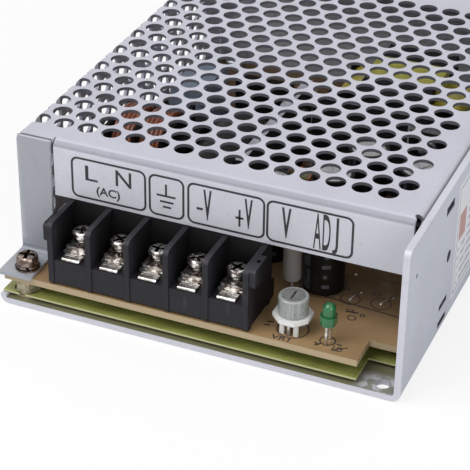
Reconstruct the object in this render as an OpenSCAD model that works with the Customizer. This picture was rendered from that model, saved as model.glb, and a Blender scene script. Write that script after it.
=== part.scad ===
// Enclosed switching power supply: a circuit board with a five pole terminal block
// in an L-shaped sheet metal chassis, closed by one folded, perforated cover.
//
// Every module works in the corner frame: X from the left side of the case,
// Y from the front edge, Z from the underside. place() centres the finished piece.

/* [Case] */
// Width over both side walls
case_w = 98; // [94:1:110]
// Length from the open terminal end to the rear wall
case_d = 129; // [125:1:160]
// Height over the perforated top
case_h = 38; // [37:0.5:45]

/* [Chassis] */
// Thickness of the chassis sheet
chassis_t = 1.5; // [1.2:0.1:1.8]
// Outside bend radius of the chassis sheet
chassis_bend = 2.2; // [2:0.1:2.6]
// Height of the upturned left edge
chassis_flange_h = 5.2; // [5:0.1:5.4]
// Height of the same edge under the front tab of the cover
chassis_front_h = 2.2; // [2.1:0.1:2.3]
// Corner radius at the front of the right wall
wall_corner_r = 1.5; // [1:0.5:4]
// Diameter of the clearance hole at the front right corner
foot_hole_d = 3.5; // [3:0.1:4.5]
// Distance of that hole from the right side
foot_hole_side = 5; // [4:0.1:6]
// Distance of that hole from the front edge
foot_hole_front = 3.4; // [2.8:0.1:4]
// Diameter of the tapped mounting holes
tapped_d = 3; // [2.5:0.1:4]
// Spacing of the tapped holes in the floor across the case
floor_hole_x = 78; // [70:1:80]
// Spacing of the tapped holes in the floor along the case
floor_hole_y = 89; // [80:1:95]
// Spacing of the tapped holes in the right wall
side_hole_y = 67.4; // [60:0.1:80]
// Height of the tapped holes in the right wall
side_hole_z = 19.5; // [15:0.1:24]
// Length of the slots in the right wall
wall_slot_l = 6; // [4:0.1:8]
// Height of the slot that takes the hook of the cover
hook_slot_h = 2.2; // [1.8:0.1:3]
// Height of the two slots below it
low_slot_h = 1.6; // [1:0.1:2]

/* [Cover] */
// Thickness of the cover sheet
cover_t = 0.8; // [0.6:0.1:1.2]
// Outside bend radius of the cover sheet
cover_bend = 2; // [1.6:0.1:2.4]
// Gap between the cover and the sheets it overlaps
cover_gap = 0.3; // [0.2:0.05:0.4]
// Distance from the front edge to the face of the lip
lip_y = 12.5; // [12.5:0.1:14]
// Height of the lip below the top
lip_h = 14; // [10:0.5:14]
// Width of the corner flange and of the tab below it
flange_w = 9; // [8.5:0.1:9.5]
// Slit between the corner flange and the lip
flange_slit = 0.7; // [0.5:0.1:1]
// Distance from the lip face forward to the face of the corner flange
flange_forward = 0.5; // [0.3:0.1:1]
// Length of the inner flange along the right wall
inner_flange_h = 8; // [7:0.5:12]

/* [Perforation] */
// Diameter of the vent holes
vent_d = 4.6; // [3.6:0.1:4.8]
// Distance between neighbouring holes in a row
vent_pitch = 6; // [5.8:0.1:8]
// Distance between staggered rows
vent_row = 5; // [4.8:0.1:8]
// Distance between the lip face and the first row of holes
vent_front = 8.6; // [7:0.1:12]
// Plain margin in front of the rear wall
vent_rear = 5; // [4:0.5:12]
// Distance from the left side to the first hole of a row
vent_left = 2.1; // [1.8:0.1:2.3]
// Plain margin along the right edge of the cover
vent_right = 1.5; // [1:0.1:6]
// Plain margin along the lower edge of the left side
vent_foot = 7; // [6.5:0.5:15]

/* [Board] */
// Thickness of the circuit board
board_t = 1.6; // [1.2:0.1:1.8]
// Height of the board above the floor of the chassis
board_lift = 4.5; // [4.3:0.1:5]
// Distance from the front edge of the case to the board
board_front = 1; // [0.6:0.1:1.5]
// Width of the notch that clears the front right hole
notch_w = 8.9; // [8.5:0.1:10]
// Depth of that notch
notch_d = 8.3; // [8:0.1:9]
// Thickness of the insulating sheet under the board
sheet_t = 0.5; // [0.3:0.1:0.8]
// Height of the standoff collars that carry the sheet
collar_h = 0.9; // [0.8:0.1:1]
// Width across the flats of the standoffs
standoff_af = 5.5; // [5:0.1:5.6]
// Diameter of the screws through the board
screw_d = 2.9; // [2.5:0.1:2.9]
// Diameter of their pan heads
screw_head_d = 5.1; // [4.8:0.1:5.2]
// Height of their pan heads
screw_head_h = 2.2; // [1.8:0.1:2.4]

/* [Terminal block] */
// Number of poles
poles = 5; // [5:1:5]
// Distance between neighbouring poles
pole_pitch = 9.5; // [9.5:0.1:9.8]
// Thickness of the walls between the poles
partition_t = 1.3; // [1:0.1:1.5]
// Distance from the left side of the case to the block
block_x = 13.4; // [12.5:0.1:14]
// Depth of the block from front to back
block_d = 15.5; // [15:0.1:16.5]
// Clearance between the block and the lip above it
lip_clearance = 0.3; // [0.3:0.1:1]
// Height of the pocket floor above the feet
pocket_floor_h = 6; // [5.8:0.1:6.2]
// Height of the feet under the block
block_foot_h = 0.6; // [0.4:0.1:0.6]
// Rounding at the front of each partition
partition_r = 1.6; // [1:0.1:2.5]
// Distance from the block's front to the screw axes
pole_screw_y = 7; // [6.8:0.1:7.2]
// Thickness of the terminal plates
plate_t = 0.8; // [0.6:0.1:0.9]
// Width of the wide part of a terminal plate
plate_w = 6.6; // [6:0.1:7]
// Width of its front tongue
tongue_w = 4.3; // [3.8:0.1:5]
// Side of the square clamp washers
clamp_w = 6; // [5.5:0.1:6.4]
// Diameter of the terminal screws
pole_screw_d = 2.9; // [2.5:0.1:3]
// Diameter of the terminal screw heads
pole_head_d = 4.8; // [4.4:0.1:5.4]
// Height of the terminal screw heads
pole_head_h = 1.5; // [1.2:0.1:1.8]
// Length of bare shank under a head when the screw is backed out
pole_raise = 1.4; // [0.8:0.1:1.6]

/* [Trimmer and lamp] */
// Diameter of the trimmer knob
knob_d = 6.8; // [6:0.1:7.2]
// Height of the trimmer knob
knob_h = 4.4; // [4:0.1:5]
// Width across the flats of the octagonal trimmer base
trimmer_af = 8.4; // [7.8:0.1:8.6]
// Height of the trimmer base above the board
trimmer_lift = 3.6; // [3:0.1:4.5]
// Diameter of the lamp lens
led_d = 3; // [2.8:0.1:3.2]
// Diameter of the rim under it
led_rim_d = 3.9; // [3.6:0.1:4.2]
// Height of that rim
led_rim_h = 2.2; // [0.8:0.1:2.4]
// Height of the lamp lens
led_h = 5.3; // [5:0.1:6]
// Height of the lens above the board
led_lift = 4.9; // [4:0.1:6]

/* [Inner parts] */
// Diameter of the output capacitors
out_cap_d = 9.7; // [8:0.1:10]
// Height of the output capacitors
out_cap_h = 20; // [16:0.5:22]
// Diameter of the bulk capacitor
bulk_d = 18; // [16:0.5:20]
// Length of the bulk capacitor
bulk_l = 28; // [25:0.5:30]
// Thickness of the shrink sleeves
sleeve_t = 0.3; // [0.2:0.05:0.4]
// Height of the heatsink plates above the board
heatsink_h = 23; // [22:0.5:24]
// Thickness of the heatsink plates
heatsink_t = 2; // [1.5:0.1:2]
// Length of the transformer core
core_l = 30; // [28:0.5:32]
// Width of the transformer core
core_w = 18; // [16:0.5:20]
// Height of the transformer core
core_h = 22; // [20:0.5:23]
// Width of the tape over its upper limb
tape_w = 11; // [8:0.5:14]
// Width over the transformer winding
winding_w = 34; // [30:0.5:36]
// Diameter of the line choke winding
choke_d = 18; // [15:0.5:18]
// Diameter of its wire
choke_wire_d = 1.1; // [0.9:0.1:1.2]
// Radius of the ring through the output choke core
ring_r = 4.8; // [4.6:0.1:5]
// Radius of that core's round section
ring_section_r = 1.9; // [1.7:0.1:2]
// Diameter of the wire on it
ring_wire_d = 0.9; // [0.7:0.1:1]
// Diameter of the small electrolytic capacitors
small_cap_d = 6.3; // [5:0.1:6.3]
// Height of the small electrolytic capacitors
small_cap_h = 11; // [9:0.5:12]
// Diameter of the disc capacitors on the input side
y_cap_d = 8; // [7:0.5:9]
// Length of the film capacitor
x_cap_l = 18; // [14:0.5:20]
// Width of the film capacitor
x_cap_w = 9; // [7:0.5:10]
// Height of the film capacitor
x_cap_h = 15; // [12:0.5:17]
// Diameter of the tall resistor
tall_d = 4.2; // [3.4:0.1:4.4]
// Length of the tall resistor
tall_l = 11; // [9:0.5:12]
// Diameter of the other resistors
resistor_d = 2.4; // [2:0.1:3]
// Length of the other resistors
resistor_l = 6.5; // [5:0.5:8]

/* [Hidden] */
$fn = 48;
fit = 0.1;
running = 0.05;
cut = 1;

// chassis and cover
wall_x = case_w - chassis_t;
cover_right = wall_x - cover_gap;
chassis_left = cover_t + 0.2;
flange_y = lip_y - flange_forward;
top_y0 = flange_y + cover_t + cover_gap;
lip_x0 = flange_w + flange_slit;
lip_x1 = cover_right - 1.4;
cover_foot = chassis_t + cover_gap;
flange_start = flange_y + cover_t + 1;
rear_relief = 2;
side_y0 = (case_d - side_hole_y) / 2;
side_screw_y = [24, case_d - 24];
side_screw_z = chassis_t + 1.9;
side_screw_d = 2.6;
slot_heights = [chassis_t + 1.2, chassis_t + 5.8];
hook_y = [26, case_d - 26 - wall_slot_l];
hook_z = case_h - 6;

// vents
vent_y0 = lip_y + vent_front;
vent_rows = floor((case_d - cover_bend - vent_rear - vent_d / 2 - vent_y0) / vent_row);
bend_arc = PI / 2 * (cover_bend - cover_t / 2);

// board, sheet and standoffs
board_z = chassis_t + board_lift;
board_top = board_z + board_t;
board_x0 = cover_t + 1;
board_x1 = wall_x - 0.3;
board_y1 = case_d - cover_t - 1.3;
sheet_z = chassis_t + collar_h;
tab_screw = [6.2, 4.2];
posts = [tab_screw, [8, 70], [8, case_d - 7], [case_w - 7, case_d - 7], [case_w - 6, 66]];
washer_t = 0.5;
spring_t = 0.8;

// terminal block
block_y = board_front;
block_z = board_top + block_foot_h;
block_h = case_h - lip_h - block_z - lip_clearance;
block_w = poles * pole_pitch + partition_t;
pocket_z = block_z + pocket_floor_h;
pole_y = block_y + pole_screw_y;
plate_top = pocket_z + plate_t;
clamp_t = 0.8;
pole_spring_t = 0.7;
head_z = plate_top + clamp_t + pole_spring_t + pole_raise;
tail_y = 4.2;
tail_w = 1.2;

// front of the board
trimmer = [block_x + block_w + 8.5, board_front + 5.5];
lamp = [trimmer[0] + 8.8, board_front + 4];
trimmer_z = board_top + trimmer_lift;
flange_t = 0.9;
spindle_d = 2.4;
lead_w = 0.5;
lead_pitch = 2.54;
pin_d = 0.8;

// inner parts: the heatsink stands near the middle, the rest is placed from it and the sides
seat = 0.3;
heatsink_x = case_w / 2 - 3.5;
heatsink_y = [33, 78];
transistor_y = heatsink_y[1] - 6.5;
rear_sink_y = 70;
rear_sink_x = [heatsink_x + 5, case_w - 5];
rectifier_x = case_w - 17;
front_cap = [trimmer[0] - 0.1, lip_y + 13.4];
out_caps = [
    front_cap,
    [heatsink_x + 9, 34],
    [heatsink_x + 20.9, 42],
    [heatsink_x + 24.5, 56.5],
    [case_w - 14, 52]
];
tall_place = [front_cap[0] - 6.4, front_cap[1] - 3.4];
ring = [heatsink_x + 11.2, 50.5];
core = [case_w - 30, 76];
bulk = [heatsink_x - 1.3 - bulk_d / 2, 36];
small_caps = [[heatsink_x - 15.6, 72], [heatsink_x - 8.4, 72], [case_w - 8, 60]];
y_caps = [[24, 27], [31, 27], [38, 27]];
snubbers = [[heatsink_x + 6.5, 66], [case_w - 8, 92]];
x_cap = [14, 84];
thermistor_place = [16, 30];
fuse_place = [8.5, 20];
bridge = [30, 90];
ic_place = [34, 82];
opto_place = [core[0] - 24, 96];
resistor_places = [
    [30, 20.5], [42, 20.5], [34, 102], [34, 107], [34, 112], [core[0] - 12, 113], [core[0] + 16, 113]
];

// line choke: it fills the room between the left side and the bulk capacitor
choke_yoke = 2.8;
choke_x0 = board_x0 + 1.5;
choke_x1 = bulk[0] - bulk_d / 2 - 0.8;
choke_l = choke_x1 - choke_x0 - 2 * choke_yoke;
choke = [(choke_x0 + choke_x1) / 2, 53];
choke_limb_d = 6;
choke_flange_t = 1;
choke_wire_pitch = choke_wire_d * 1.02;
choke_turns = floor((choke_l / 2 - 1.6 * choke_flange_t - 0.3) / choke_wire_pitch);
choke_axis_z = choke_d / 2 + choke_wire_d / 2 + 1.2;
choke_return_y = choke_d / 2 + choke_limb_d / 2;

// ---------------------------------------------------------------- helpers

module place() {
    translate([-case_w / 2, -case_d / 2, 0]) children();
}

// Extrudes a drawing of the XZ plane along Y from y0 to y1
module along_y(y0, y1) {
    translate([0, y1, 0]) rotate([90, 0, 0]) linear_extrude(y1 - y0) children();
}

// Extrudes a drawing of the YZ plane along X from x0 to x1
module along_x(x0, x1) {
    translate([x0, 0, 0]) rotate([90, 0, 90]) linear_extrude(x1 - x0) children();
}

// A bent sheet seen end on: a flat along +X, a bend and a leg down, outside corner at 0
module bent_sheet(flat, leg, t, r) {
    translate([r, -t]) square([flat - r, t]);
    translate([0, -leg]) square([t, leg - r]);
    difference() {
        intersection() {
            translate([r, -r]) circle(r);
            translate([0, -r]) square(r);
        }
        translate([r, -r]) circle(r - t);
    }
}

module round_rect(w, h, r) {
    translate([r, 0]) square([w - 2 * r, h]);
    translate([0, r]) square([w, h - 2 * r]);
    for (x = [r, w - r], y = [r, h - r]) translate([x, y]) circle(r);
}

// A block with rounded upright edges, centred on its footprint
module upright_block(size, r) {
    translate([-size[0] / 2, -size[1] / 2, 0]) linear_extrude(size[2]) round_rect(size[0], size[1], r);
}

module at(point, z = 0) {
    translate([point[0], point[1], z]) children();
}

// A pan head with a cross recess, its underside at z = 0
module pan_head(d, h, turn = 0) {
    edge = h * 0.45;
    difference() {
        rotate_extrude() {
            square([d / 2 - edge, h]);
            square([d / 2, h - edge]);
            translate([d / 2 - edge, h - edge]) intersection() {
                circle(edge);
                square(edge);
            }
        }
        for (a = [0, 90]) rotate(a + turn) translate([-d * 0.38, -d * 0.085, h * 0.4])
            cube([d * 0.76, d * 0.17, h]);
        rotate(45 + turn) translate([-d * 0.14, -d * 0.14, h * 0.35]) cube([d * 0.28, d * 0.28, h]);
    }
}

module ring_washer(outer, inner, t) {
    difference() {
        cylinder(d = outer, h = t);
        translate([0, 0, -cut]) cylinder(d = inner, h = t + 2 * cut);
    }
}

// A split lock washer with its gap at an angle
module spring_washer(outer, inner, t, turn) {
    difference() {
        ring_washer(outer, inner, t);
        rotate(turn) translate([0, 0, t / 2]) rotate([30, 0, 0]) translate([0, -0.25, -2 * t])
            cube([outer, 0.5, 4 * t]);
    }
}

// ---------------------------------------------------------------- case

module chassis_profile() {
    translate([case_w, 0]) rotate(180) bent_sheet(case_w / 2, case_h, chassis_t, chassis_bend);
    translate([chassis_left, 0]) mirror([0, 1])
        bent_sheet(case_w / 2, chassis_flange_h, chassis_t, chassis_bend);
}

module wall_slot(y, z, h) {
    translate([wall_x - cut, y, z]) cube([chassis_t + 2 * cut, wall_slot_l, h]);
}

module wall_openings() {
    for (y = hook_y) {
        wall_slot(y, hook_z, hook_slot_h);
        for (z = slot_heights) wall_slot(y, z, low_slot_h);
    }
    for (y = [side_y0, side_y0 + side_hole_y]) translate([wall_x - cut, y, side_hole_z])
        rotate([0, 90, 0]) cylinder(d = tapped_d, h = chassis_t + 2 * cut);
    translate([case_w - 0.4, 5.9, case_h - 9]) rotate([0, 90, 0]) cylinder(d = 1.2, h = cut);
    // the rounded corner at the front of the wall
    along_x(wall_x - cut, case_w + cut) translate([0, case_h]) difference() {
        translate([-cut, -wall_corner_r]) square([wall_corner_r + cut, wall_corner_r + cut]);
        translate([wall_corner_r, -wall_corner_r]) circle(wall_corner_r);
    }
}

module floor_openings() {
    translate([case_w - foot_hole_side, foot_hole_front, -cut])
        cylinder(d = foot_hole_d, h = chassis_t + 2 * cut);
    for (x = [-1, 1], y = [-1, 1])
        translate([case_w / 2 + x * floor_hole_x / 2, case_d / 2 + y * floor_hole_y / 2, -cut])
            cylinder(d = tapped_d, h = chassis_t + 2 * cut);
    for (post = posts) at(post, -cut) cylinder(d = standoff_af - 1 + fit, h = chassis_t + 2 * cut);
}

module chassis() {
    color("gainsboro") place() difference() {
        along_y(0, case_d) chassis_profile();
        wall_openings();
        floor_openings();
        translate([0, -cut, chassis_front_h])
            cube([chassis_left + chassis_bend, flange_start + cut, chassis_flange_h]);
        translate([0, case_d - rear_relief, chassis_t])
            cube([chassis_left + chassis_bend, rear_relief + cut, chassis_flange_h]);
        // flat seat for the standoff beside the low front edge
        translate([chassis_left + chassis_t, -cut, chassis_t])
            cube([chassis_bend, flange_start + cut, chassis_bend]);
        for (y = side_screw_y) translate([chassis_left - cut, y, side_screw_z]) rotate([0, 90, 0])
            cylinder(d = side_screw_d + fit, h = chassis_t + 2 * cut);
    }
}

module cover_profile() {
    translate([0, case_h]) bent_sheet(case_w / 2, cover_bend + 1, cover_t, cover_bend);
    translate([cover_right, case_h]) mirror([1, 0])
        bent_sheet(cover_right - case_w / 2, inner_flange_h, cover_t, cover_bend);
}

// The flange that closes the left corner, with its tab that is screwed down on the board
module corner_flange() {
    foot = board_top + cover_bend + 0.4;
    difference() {
        translate([0, flange_y, foot]) linear_extrude(case_h - cover_t * 0.3 - foot) mirror([0, 1])
            bent_sheet(flange_w, cover_bend + 2, cover_t, cover_bend);
        translate([-cut, flange_y + cover_t, case_h - cover_bend - 0.3])
            cube([cover_bend + 2 * cut, cover_bend + 3, cover_bend + cut]);
    }
    difference() {
        along_x(cover_t, flange_w) translate([flange_y + cover_t, board_top]) rotate(180)
            bent_sheet(flange_y + cover_t, cover_bend + 1, cover_t, cover_bend);
        at(tab_screw, board_top - cut) cylinder(d = screw_d + 0.5, h = cover_t + 2 * cut);
    }
}

module cover_sheet() {
    rear = case_d - cover_bend;
    along_y(lip_y + cover_bend, rear) cover_profile();
    along_y(top_y0, lip_y + cover_bend + 0.1) intersection() {
        cover_profile();
        square([lip_x0 - flange_slit / 2, case_h]);
    }
    // left side
    translate([0, top_y0, cover_foot]) cube([cover_t, case_d - top_y0, case_h - cover_bend - cover_foot]);
    // front lip and rear wall
    along_x(lip_x0, lip_x1) translate([lip_y, case_h])
        bent_sheet(cover_bend + 1, lip_h, cover_t, cover_bend);
    along_x(cover_t + cover_gap, lip_x1) translate([case_d, case_h]) mirror([1, 0])
        bent_sheet(cover_bend + 1, case_h - cover_foot, cover_t, cover_bend);
    corner_flange();
    // hooks in the upper slots of the right wall
    for (y = hook_y)
        translate([cover_right - cover_t, y + cover_gap, hook_z + cover_gap])
            cube([cover_t + cover_gap + 0.7, wall_slot_l - 2 * cover_gap, hook_slot_h - 2 * cover_gap]);
}

module vents_top() {
    for (row = [0 : vent_rows]) {
        shift = row % 2 == 0 ? 0 : vent_pitch / 2;
        span = cover_right - cover_bend - vent_right - vent_d / 2 - vent_left - shift;
        for (i = [0 : floor(span / vent_pitch)])
            at([vent_left + shift + i * vent_pitch, vent_y0 + row * vent_row], case_h - cover_bend - 0.2)
                cylinder(d = vent_d, h = cover_bend + cut);
    }
}

// The same pattern carried on round the bend and down the left side
module vents_left() {
    for (row = [0 : vent_rows]) {
        step = row % 2 == 0 ? vent_pitch : vent_pitch / 2;
        z0 = case_h - cover_bend - (step + cover_bend - vent_left - bend_arc);
        for (i = [0 : floor((z0 - vent_foot - vent_d / 2) / vent_pitch)])
            translate([-cut, vent_y0 + row * vent_row, z0 - i * vent_pitch]) rotate([0, 90, 0])
                cylinder(d = vent_d, h = cut + cover_bend - 0.1);
    }
}

module cover() {
    color("lightgray") place() difference() {
        cover_sheet();
        vents_top();
        vents_left();
        // relief at the right end of the lip
        translate([lip_x1 + 0.2, lip_y + cover_bend, case_h - cover_bend - cut])
            cylinder(d = 1.6, h = cover_bend + 2 * cut);
        for (y = side_screw_y) translate([-fit, y, side_screw_z]) rotate([0, 90, 0]) {
            cylinder(r1 = side_screw_d / 2 + cover_t + 2 * fit, r2 = side_screw_d / 2 + fit,
                h = cover_t + fit);
            cylinder(d = side_screw_d + 2 * fit, h = cover_t + cut);
        }
    }
}

module cover_screws() {
    color("silver") place() for (y = side_screw_y) translate([0, y, side_screw_z]) rotate([0, 90, 0])
        difference() {
            union() {
                cylinder(r1 = side_screw_d / 2 + cover_t, r2 = side_screw_d / 2, h = cover_t);
                cylinder(d = side_screw_d, h = cover_t + chassis_t + 0.3);
            }
            for (a = [0, 90]) rotate(a) translate([-1.4, -0.3, -cut]) cube([2.8, 0.6, cut + 0.7]);
        }
}

// ---------------------------------------------------------------- board and its carriers

module board_outline(x0, x1, y1) {
    difference() {
        translate([x0, board_front]) square([x1 - x0, y1 - board_front]);
        translate([case_w - chassis_t - notch_w, -cut]) square([notch_w + cut, board_front + notch_d + cut]);
    }
}

module insulation_sheet() {
    inner = chassis_left + chassis_t + 0.3;
    color([0.62, 0.66, 0.25]) place() difference() {
        translate([0, 0, sheet_z]) linear_extrude(sheet_t) difference() {
            board_outline(chassis_left + 0.3, wall_x - 0.3, board_y1);
            translate([0, flange_start - 0.5]) square([inner, case_d]);
        }
        for (post = posts) at(post, sheet_z - cut)
            cylinder(d = standoff_af / cos(30) + 2 * fit, h = sheet_t + 2 * cut);
        for (x = [-1, 1], y = [-1, 1])
            translate([case_w / 2 + x * floor_hole_x / 2, case_d / 2 + y * floor_hole_y / 2, sheet_z - cut])
                cylinder(d = tapped_d + 1, h = sheet_t + 2 * cut);
    }
}

module circuit_board() {
    color([0.55, 0.42, 0.28]) place() difference() {
        translate([0, 0, board_z]) linear_extrude(board_t) board_outline(board_x0, board_x1, board_y1);
        for (post = posts) at(post, board_z - cut) cylinder(d = screw_d + 0.3, h = board_t + 2 * cut);
        for (i = [0 : poles - 1]) at([pole_x(i), pole_y + tail_y], board_z - cut)
            cylinder(d = tail_w + 0.6, h = board_t + 2 * cut);
        for (y = [-1, 1]) at([lamp[0], lamp[1] + y * lead_pitch / 2], board_z - cut)
            cylinder(d = lead_w + 0.3, h = board_t + 2 * cut);
        for (p = trimmer_pin_places()) at(trimmer + p, board_z - cut)
            cylinder(d = pin_d + 2 * fit, h = board_t + 2 * cut);
    }
}

module standoffs() {
    color("khaki") place() for (post = posts) at(post) difference() {
        union() {
            cylinder(d = standoff_af - 1, h = chassis_t + fit);
            translate([0, 0, chassis_t]) cylinder(d = standoff_af + 0.9, h = collar_h);
            translate([0, 0, chassis_t]) cylinder(d = standoff_af / cos(30), h = board_lift, $fn = 6);
        }
        translate([0, 0, -cut]) cylinder(d = screw_d + fit, h = board_z + 2 * cut);
    }
}

module board_screws() {
    color("silver") place() for (i = [1 : len(posts) - 1]) at(posts[i], board_top) {
        pan_head(screw_head_d, screw_head_h, i * 25);
        translate([0, 0, -board_t - 2.5]) cylinder(d = screw_d, h = board_t + 2.6);
    }
}

module tab_screw() {
    under = board_top + cover_t + washer_t + spring_t;
    color([0.5, 0.42, 0.38]) place() at(tab_screw, under) {
        pan_head(screw_head_d, screw_head_h, 12);
        translate([0, 0, board_z + 1 - under]) cylinder(d = screw_d, h = under - board_z - 0.9);
    }
}

module tab_spring_washer() {
    color([0.5, 0.42, 0.38]) place() at(tab_screw, board_top + cover_t + washer_t)
        spring_washer(screw_head_d + 0.1, screw_d + 0.3, spring_t, -60);
}

module tab_flat_washer() {
    color([0.55, 0.48, 0.44]) place() at(tab_screw, board_top + cover_t)
        ring_washer(screw_head_d + 0.7, screw_d + 0.3, washer_t);
}

// ---------------------------------------------------------------- terminal block

function pole_x(i) = block_x + partition_t / 2 + (i + 0.5) * pole_pitch;

// The side view of a partition: upright with a rounded front shoulder
module partition_profile(depth, height) {
    r = partition_r;
    square([depth, height - r]);
    translate([r, 0]) square([depth - r, height]);
    translate([r, height - r]) circle(r);
}

module block_ear(depth, height) {
    round_rect(depth, height, 0.8);
}

module terminal_block() {
    back = block_d - 2.6;
    front_step = 0.25;
    color([0.13, 0.13, 0.15]) place() difference() {
        union() {
            // base, stepped down behind the back wall
            translate([block_x, block_y + front_step, block_z])
                cube([block_w, back - front_step, pocket_floor_h]);
            translate([block_x, block_y + back - cut, block_z])
                cube([block_w, block_d - back + cut, pocket_floor_h - 1.5]);
            // back wall
            translate([block_x, block_y + back - 1.4, block_z]) cube([block_w, 1.4, block_h]);
            for (i = [0 : poles]) along_x(block_x + i * pole_pitch, block_x + i * pole_pitch + partition_t)
                translate([block_y, block_z]) partition_profile(back + 1, block_h);
            // end ears
            along_x(block_x - 1.1, block_x + 0.1) translate([block_y + 0.5, block_z + block_h - 5.3])
                block_ear(5.6, 4.6);
            along_x(block_x + block_w - 0.1, block_x + block_w + 1.5)
                translate([block_y + 0.2, block_z + block_h - 4.6]) block_ear(7.4, 4.6);
            // feet
            for (i = [0 : poles], y = [0.6, back - 1])
                translate([block_x + i * pole_pitch, block_y + y, board_top])
                    cube([partition_t, 1.6, block_foot_h + 0.1]);
        }
        for (i = [0 : poles - 1]) {
            at([pole_x(i), pole_y], block_z + 1) cylinder(d = pole_screw_d + 0.3, h = pocket_floor_h);
            translate([pole_x(i) - tail_w / 2 - fit, pole_y + tail_y - plate_t / 2 - fit, block_z - cut])
                cube([tail_w + 2 * fit, plate_t + 2 * fit, pocket_floor_h + 2 * cut]);
        }
        // pin hole in the right ear and grooves under the pockets
        translate([block_x + block_w + 0.6, block_y + 4.5, block_z + block_h - 2]) cylinder(d = 1, h = 2 + cut);
        for (i = [0 : poles - 1]) translate([pole_x(i) - 2, block_y + 3, block_z - cut])
            cube([4, back - 6, cut + 1.2]);
    }
}

// A terminal plate round its screw: rolled tongue, notched body and solder tail
module terminal_plate() {
    body_y = 3.6;
    tongue_y = pole_screw_y - 0.9;
    tail_h = plate_top - board_z + 1.4;
    difference() {
        union() {
            translate([-plate_w / 2, -body_y, 0]) cube([plate_w, body_y + 3.3, plate_t]);
            translate([-tongue_w / 2, -tongue_y, 0]) cube([tongue_w, tongue_y, plate_t]);
            translate([-tongue_w / 2, -tongue_y, plate_t / 2]) rotate([0, 90, 0])
                cylinder(d = plate_t, h = tongue_w);
            translate([-tail_w / 2, 3, 0]) cube([tail_w, tail_y - 3 + plate_t / 2, plate_t]);
            translate([-tail_w / 2, tail_y - plate_t / 2, plate_t - tail_h]) cube([tail_w, plate_t, tail_h]);
        }
        translate([0, 0, -cut]) cylinder(d = pole_screw_d + 2 * running, h = plate_t + 2 * cut);
        for (side = [-1, 1]) translate([side * plate_w / 2, -body_y, plate_t / 2])
            cube([plate_w - tongue_w + 1.4, 0.7, plate_t + cut], center = true);
        for (y = [-tongue_y + 1.1, -tongue_y + 1.8])
            translate([-tongue_w / 2 - cut, y, plate_t - 0.15]) cube([tongue_w + 2 * cut, 0.25, cut]);
    }
}

module terminal_plates() {
    color("silver") place() for (i = [0 : poles - 1]) at([pole_x(i), pole_y], pocket_z) terminal_plate();
}

// Square washers with turned up front and rear edges that keep the wire in
module clamp_washers() {
    edge_t = 0.5;
    edge_h = 0.4;
    color("silver") place() for (i = [0 : poles - 1]) at([pole_x(i), pole_y], plate_top) difference() {
        upright_block([clamp_w, clamp_w, clamp_t + edge_h], 0.5);
        translate([-clamp_w, -clamp_w / 2 + edge_t, clamp_t]) cube([2 * clamp_w, clamp_w - 2 * edge_t, cut]);
        translate([0, 0, -cut]) cylinder(d = pole_screw_d + 0.3, h = clamp_t + 2 * cut);
    }
}

module terminal_spring_washers() {
    color("silver") place() for (i = [0 : poles - 1]) at([pole_x(i), pole_y], plate_top + clamp_t)
        spring_washer(pole_head_d, pole_screw_d + 0.3, pole_spring_t, -100 + 30 * i);
}

module terminal_screw(i) {
    reach = block_z + 1.6;
    color("silver") place() at([pole_x(i), pole_y], head_z) {
        pan_head(pole_head_d, pole_head_h, 20 + 35 * i);
        translate([0, 0, reach - head_z]) cylinder(d = pole_screw_d, h = head_z - reach + 0.1);
    }
}

module line_screw() terminal_screw(0);
module neutral_screw() terminal_screw(1);
module earth_screw() terminal_screw(2);
module minus_screw() terminal_screw(3);
module plus_screw() terminal_screw(4);

// ---------------------------------------------------------------- trimmer and lamp

function trimmer_pin_places() = [[0, -2.6], [-2.2, 2.4], [2.2, 2.4]];

module trimmer_base() {
    color("gainsboro") place() at(trimmer, board_top) difference() {
        union() {
            translate([0, 0, trimmer_lift]) rotate(22.5)
                cylinder(d = trimmer_af / cos(22.5), h = flange_t, $fn = 8);
            translate([0, 0, trimmer_lift - 1.2]) cylinder(d = trimmer_af - 2.6, h = 1.3);
            for (x = [-1, 1], y = [-1, 1]) translate([x * 1.6 - 0.5, y * 2.2 - 0.4, 0])
                cube([1, 0.8, trimmer_lift]);
        }
        translate([0, 0, trimmer_lift - 2]) cylinder(d = spindle_d + 2 * running, h = flange_t + 3);
        for (p = trimmer_pin_places()) at(p) cylinder(d = pin_d + fit, h = trimmer_lift - 0.3);
    }
}

module trimmer_pins() {
    color("silver") place() for (p = trimmer_pin_places()) at(trimmer + p, board_z - 1.2)
        cylinder(d = pin_d, h = board_t + 1.2 + trimmer_lift - 0.4);
}

module trimmer_knob() {
    gap = 0.15;
    color([0.75, 0.78, 0.78]) place() at(trimmer, trimmer_z + flange_t + gap) difference() {
        union() {
            rotate_extrude() {
                square([knob_d / 2 - 0.5, knob_h]);
                square([knob_d / 2, knob_h - 0.5]);
                translate([knob_d / 2 - 0.5, knob_h - 0.5]) circle(0.5);
            }
            translate([0, 0, -gap - flange_t - 0.9]) cylinder(d = spindle_d, h = gap + flange_t + 1);
        }
        translate([-0.25, -1.7, knob_h - 0.5]) cube([0.5, 3.4, cut]);
    }
}

// The lens stands on a wider rim with one flat side
module led_lens() {
    color([0.15, 0.6, 0.3]) place() at(lamp, board_top + led_lift) difference() {
        rotate_extrude() {
            square([led_rim_d / 2, led_rim_h]);
            square([led_d / 2, led_h - led_d / 2]);
            translate([0, led_h - led_d / 2]) intersection() {
                circle(led_d / 2);
                square(led_d);
            }
        }
        translate([led_d / 2 + 0.1, -led_d, -cut]) cube([cut, 2 * led_d, led_rim_h + 2 * cut]);
    }
}

module led_leads() {
    below = 1.2;
    color("silver") place() for (y = [-1, 1]) at([lamp[0], lamp[1] + y * lead_pitch / 2], board_z - below)
        translate([-lead_w / 2, -lead_w / 2, 0]) cube([lead_w, lead_w, board_t + led_lift + below]);
}

// ---------------------------------------------------------------- capacitors

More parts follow.
